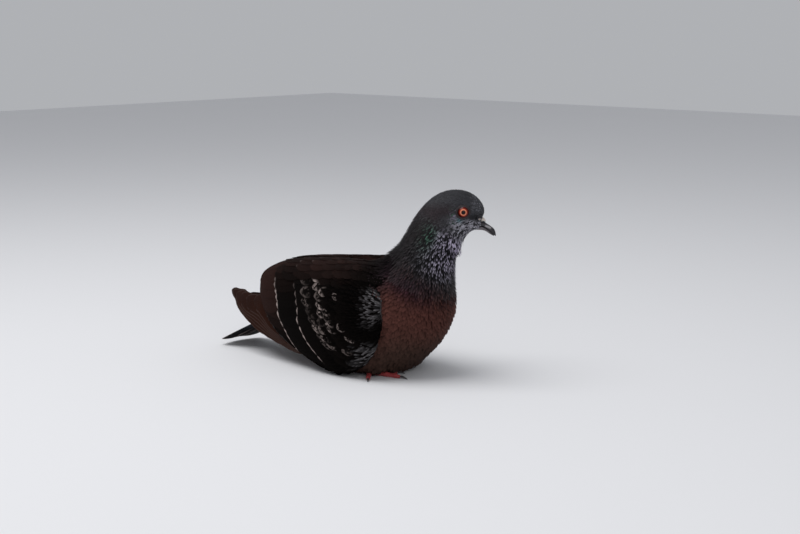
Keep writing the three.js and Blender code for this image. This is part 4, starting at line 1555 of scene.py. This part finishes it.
settle(skin, skin_material, "body_feathers", "trunk", "neck", "head", "wing_left", "wing_right")
for name, piece in coat_pieces.items():
    if name in ("face", "crown", "head"):
        settle(piece, head_plumage, "head_feathers")
    elif name in ("nape", "neck"):
        settle(piece, neck_plumage, "neck_feathers")
    else:
        settle(piece, body_plumage, "body_feathers")
for piece in wing_pieces:
    settle(piece, covert_plumage, "wing_feathers")
for side, piece in wing_tips.items():
    settle(piece, flight_plumage, "flight_feathers", f"wing_tip_{side}")
settle(tail_piece, flight_plumage, "tail_feathers", "tail")

# %% [markdown]
# An eye is wet and clear in front. The film over it gives one crisp reflection, and the iris
# under it has fine spokes. The rings are painted by their distance from the eye's axis.

# %% Eye material
RING_REACH = 6.0  # mm from the eye's axis, where the rings end
IRIS_RINGS = [
    (0.0, "0a0303"), (1.4, "180503"), (1.68, "8a3420"), (1.9, "d0805f"), (2.3, "d98a68"),
    (2.6, "b04a2c"), (2.8, "7c1c0a"), (3.5, "561006"), (4.1, "240806"), (6.0, "140706"),
]
eye_material, tree = material("wet cornea over iris")
iris = node(tree, "Attribute", attribute_name="iris").outputs["Vector"]
reach = node(tree, "VectorMath", {0: iris}, operation="LENGTH").outputs["Value"]
reach = sum_up(tree, "MULTIPLY", reach, MARK_UNIT / MM)
spokes = node(tree, "TexNoise", {"Vector": iris, "Scale": 22.0, "Detail": 3.0}).outputs[0]
reach = sum_up(tree, "MULTIPLY_ADD", spokes, 0.5, sum_up(tree, "SUBTRACT", reach, 0.25))
rings = node(tree, "ValToRGB", {0: sum_up(tree, "DIVIDE", reach, RING_REACH)}).outputs[0]
stops = rings.node.color_ramp.elements
while len(stops) < len(IRIS_RINGS):
    stops.new(0.5)
for stop, (radius, shade) in zip(stops, IRIS_RINGS):
    stop.position = radius / RING_REACH
    stop.color = (*linear(shade), 1)
finish_surface(
    tree, base_color=rings, roughness=0.3, ior=1.376, specular_ior_level=0.15, coat_weight=0.3,
    coat_roughness=0.03,
)

# %% [markdown]
# The lid is bare skin, grey with a little warmth. The cere is soft skin dusted with powder. The
# bill is horn, dark at the tip and polished by use, with a pale highlight and a dark line of shade
# painted along each side. The feet are scaled skin with blood under it.

# %% Lid, cere, bill, foot and claw materials
lid_material, tree = material("bare eyelid skin")
beads = texture(tree, "Voronoi", 1800.0)
shade, bump = blend(tree, beads, "181315", "352c2f"), bumps(tree, beads, 0.4, 0.1)
finish_surface(tree, base_color=shade, roughness=0.55, ior=1.4, normal=bump)

cere_material, tree = material("powdered cere skin")
powder = texture(tree, "Noise", 1500.0, Detail=4.0)
shade, bump = blend(tree, powder, "c0aea6", "ece4dc"), bumps(tree, powder, 0.4, 0.12)
finish_surface(
    tree, base_color=shade, roughness=0.85, ior=1.4, normal=bump, subsurface_weight=0.1,
    subsurface_scale=0.001,
)

horn_material, tree = material("polished horn")
growth = texture(tree, "Noise", 1100.0, Detail=4.0)
shade = scaled(tree, painted(tree, "tint"), sum_up(tree, "MULTIPLY_ADD", growth, 0.8, 0.6))
bump = bumps(tree, growth, 0.25, 0.12)
finish_surface(tree, base_color=shade, roughness=0.38, ior=1.54, normal=bump)

claw_material, tree = material("dark claw horn")
growth = texture(tree, "Noise", 1400.0, Detail=3.0)
shade, bump = blend(tree, growth, "141214", "3a3234"), bumps(tree, growth, 0.2, 0.1)
finish_surface(tree, base_color=shade, roughness=0.4, ior=1.54, normal=bump)

foot_material, tree = material("scaled foot skin")
plates = node(tree, "SeparateColor", {0: painted(tree, "tint")}).outputs[0]
mottle = texture(tree, "Noise", 300.0, Detail=3.0)
shade = blend(tree, plates, "5c1a22", blend(tree, mottle, "8e2a31", "c25552"))
bump = bumps(tree, texture(tree, "Voronoi", 1500.0), 0.35, 0.15)
finish_surface(tree, base_color=shade, roughness=0.5, ior=1.45, normal=bump)

for side in SIDES:
    settle(eyeballs[side], eye_material, "eye", f"eye_{side}")
    settle(eyelids[side], lid_material, "cere")
    toes = [f"toe_{toe}_{side}" for toe in TOES]
    settle(feet[side], foot_material, "foot_skin", f"leg_{side}", *toes)
for (toe, side), made in claws.items():
    settle(made, claw_material, "claw", f"claw_{toe}_{side}")
settle(bill_upper, horn_material, "bill", "bill_upper")
settle(bill_lower, horn_material, "bill", "bill_lower")
settle(cere, cere_material, "cere", "cere")

# %% [markdown]
# ## Floor and light
# A pale plain floor, a large soft window overhead and a pale room. The light comes mostly from
# above, as on an overcast day, so the bird's back has a soft glow and its belly is dark.

# %% Floor and light
bpy.ops.mesh.primitive_plane_add(size=6, location=(0, 0, 0))
floor = bpy.context.object
floor.name = "floor"
floor_material, tree = material("matt studio paper")
bump = bumps(tree, texture(tree, "Noise", 900.0, Detail=2.0), 0.05, 0.2)
finish_surface(tree, base_color=(*linear("e4e4e6"), 1), roughness=0.9, normal=bump)
floor.data.materials.append(floor_material)


def window(name, place, aim, size, power):
    """A round soft light at a place, turned to what it is aimed at."""
    bpy.ops.object.light_add(type="AREA", location=place)
    light = bpy.context.object
    light.name = name
    light.data.shape = "DISK"
    light.data.size = size
    light.data.energy = power
    light.rotation_euler = (Vector(aim) - Vector(place)).to_track_quat("-Z", "Y").to_euler()


window("sky window", (-0.3, -0.5, 1.5), (0, 0, 0.05), 1.4, 16)
window("front window", (1.3, -0.9, 0.8), (0, 0, 0.08), 0.9, 4)
world = bpy.data.worlds.new("pale room")
bpy.context.scene.world = world
world.use_nodes = True
world.node_tree.nodes["Background"].inputs["Color"].default_value = (0.86, 0.88, 0.92, 1)
world.node_tree.nodes["Background"].inputs["Strength"].default_value = 0.5
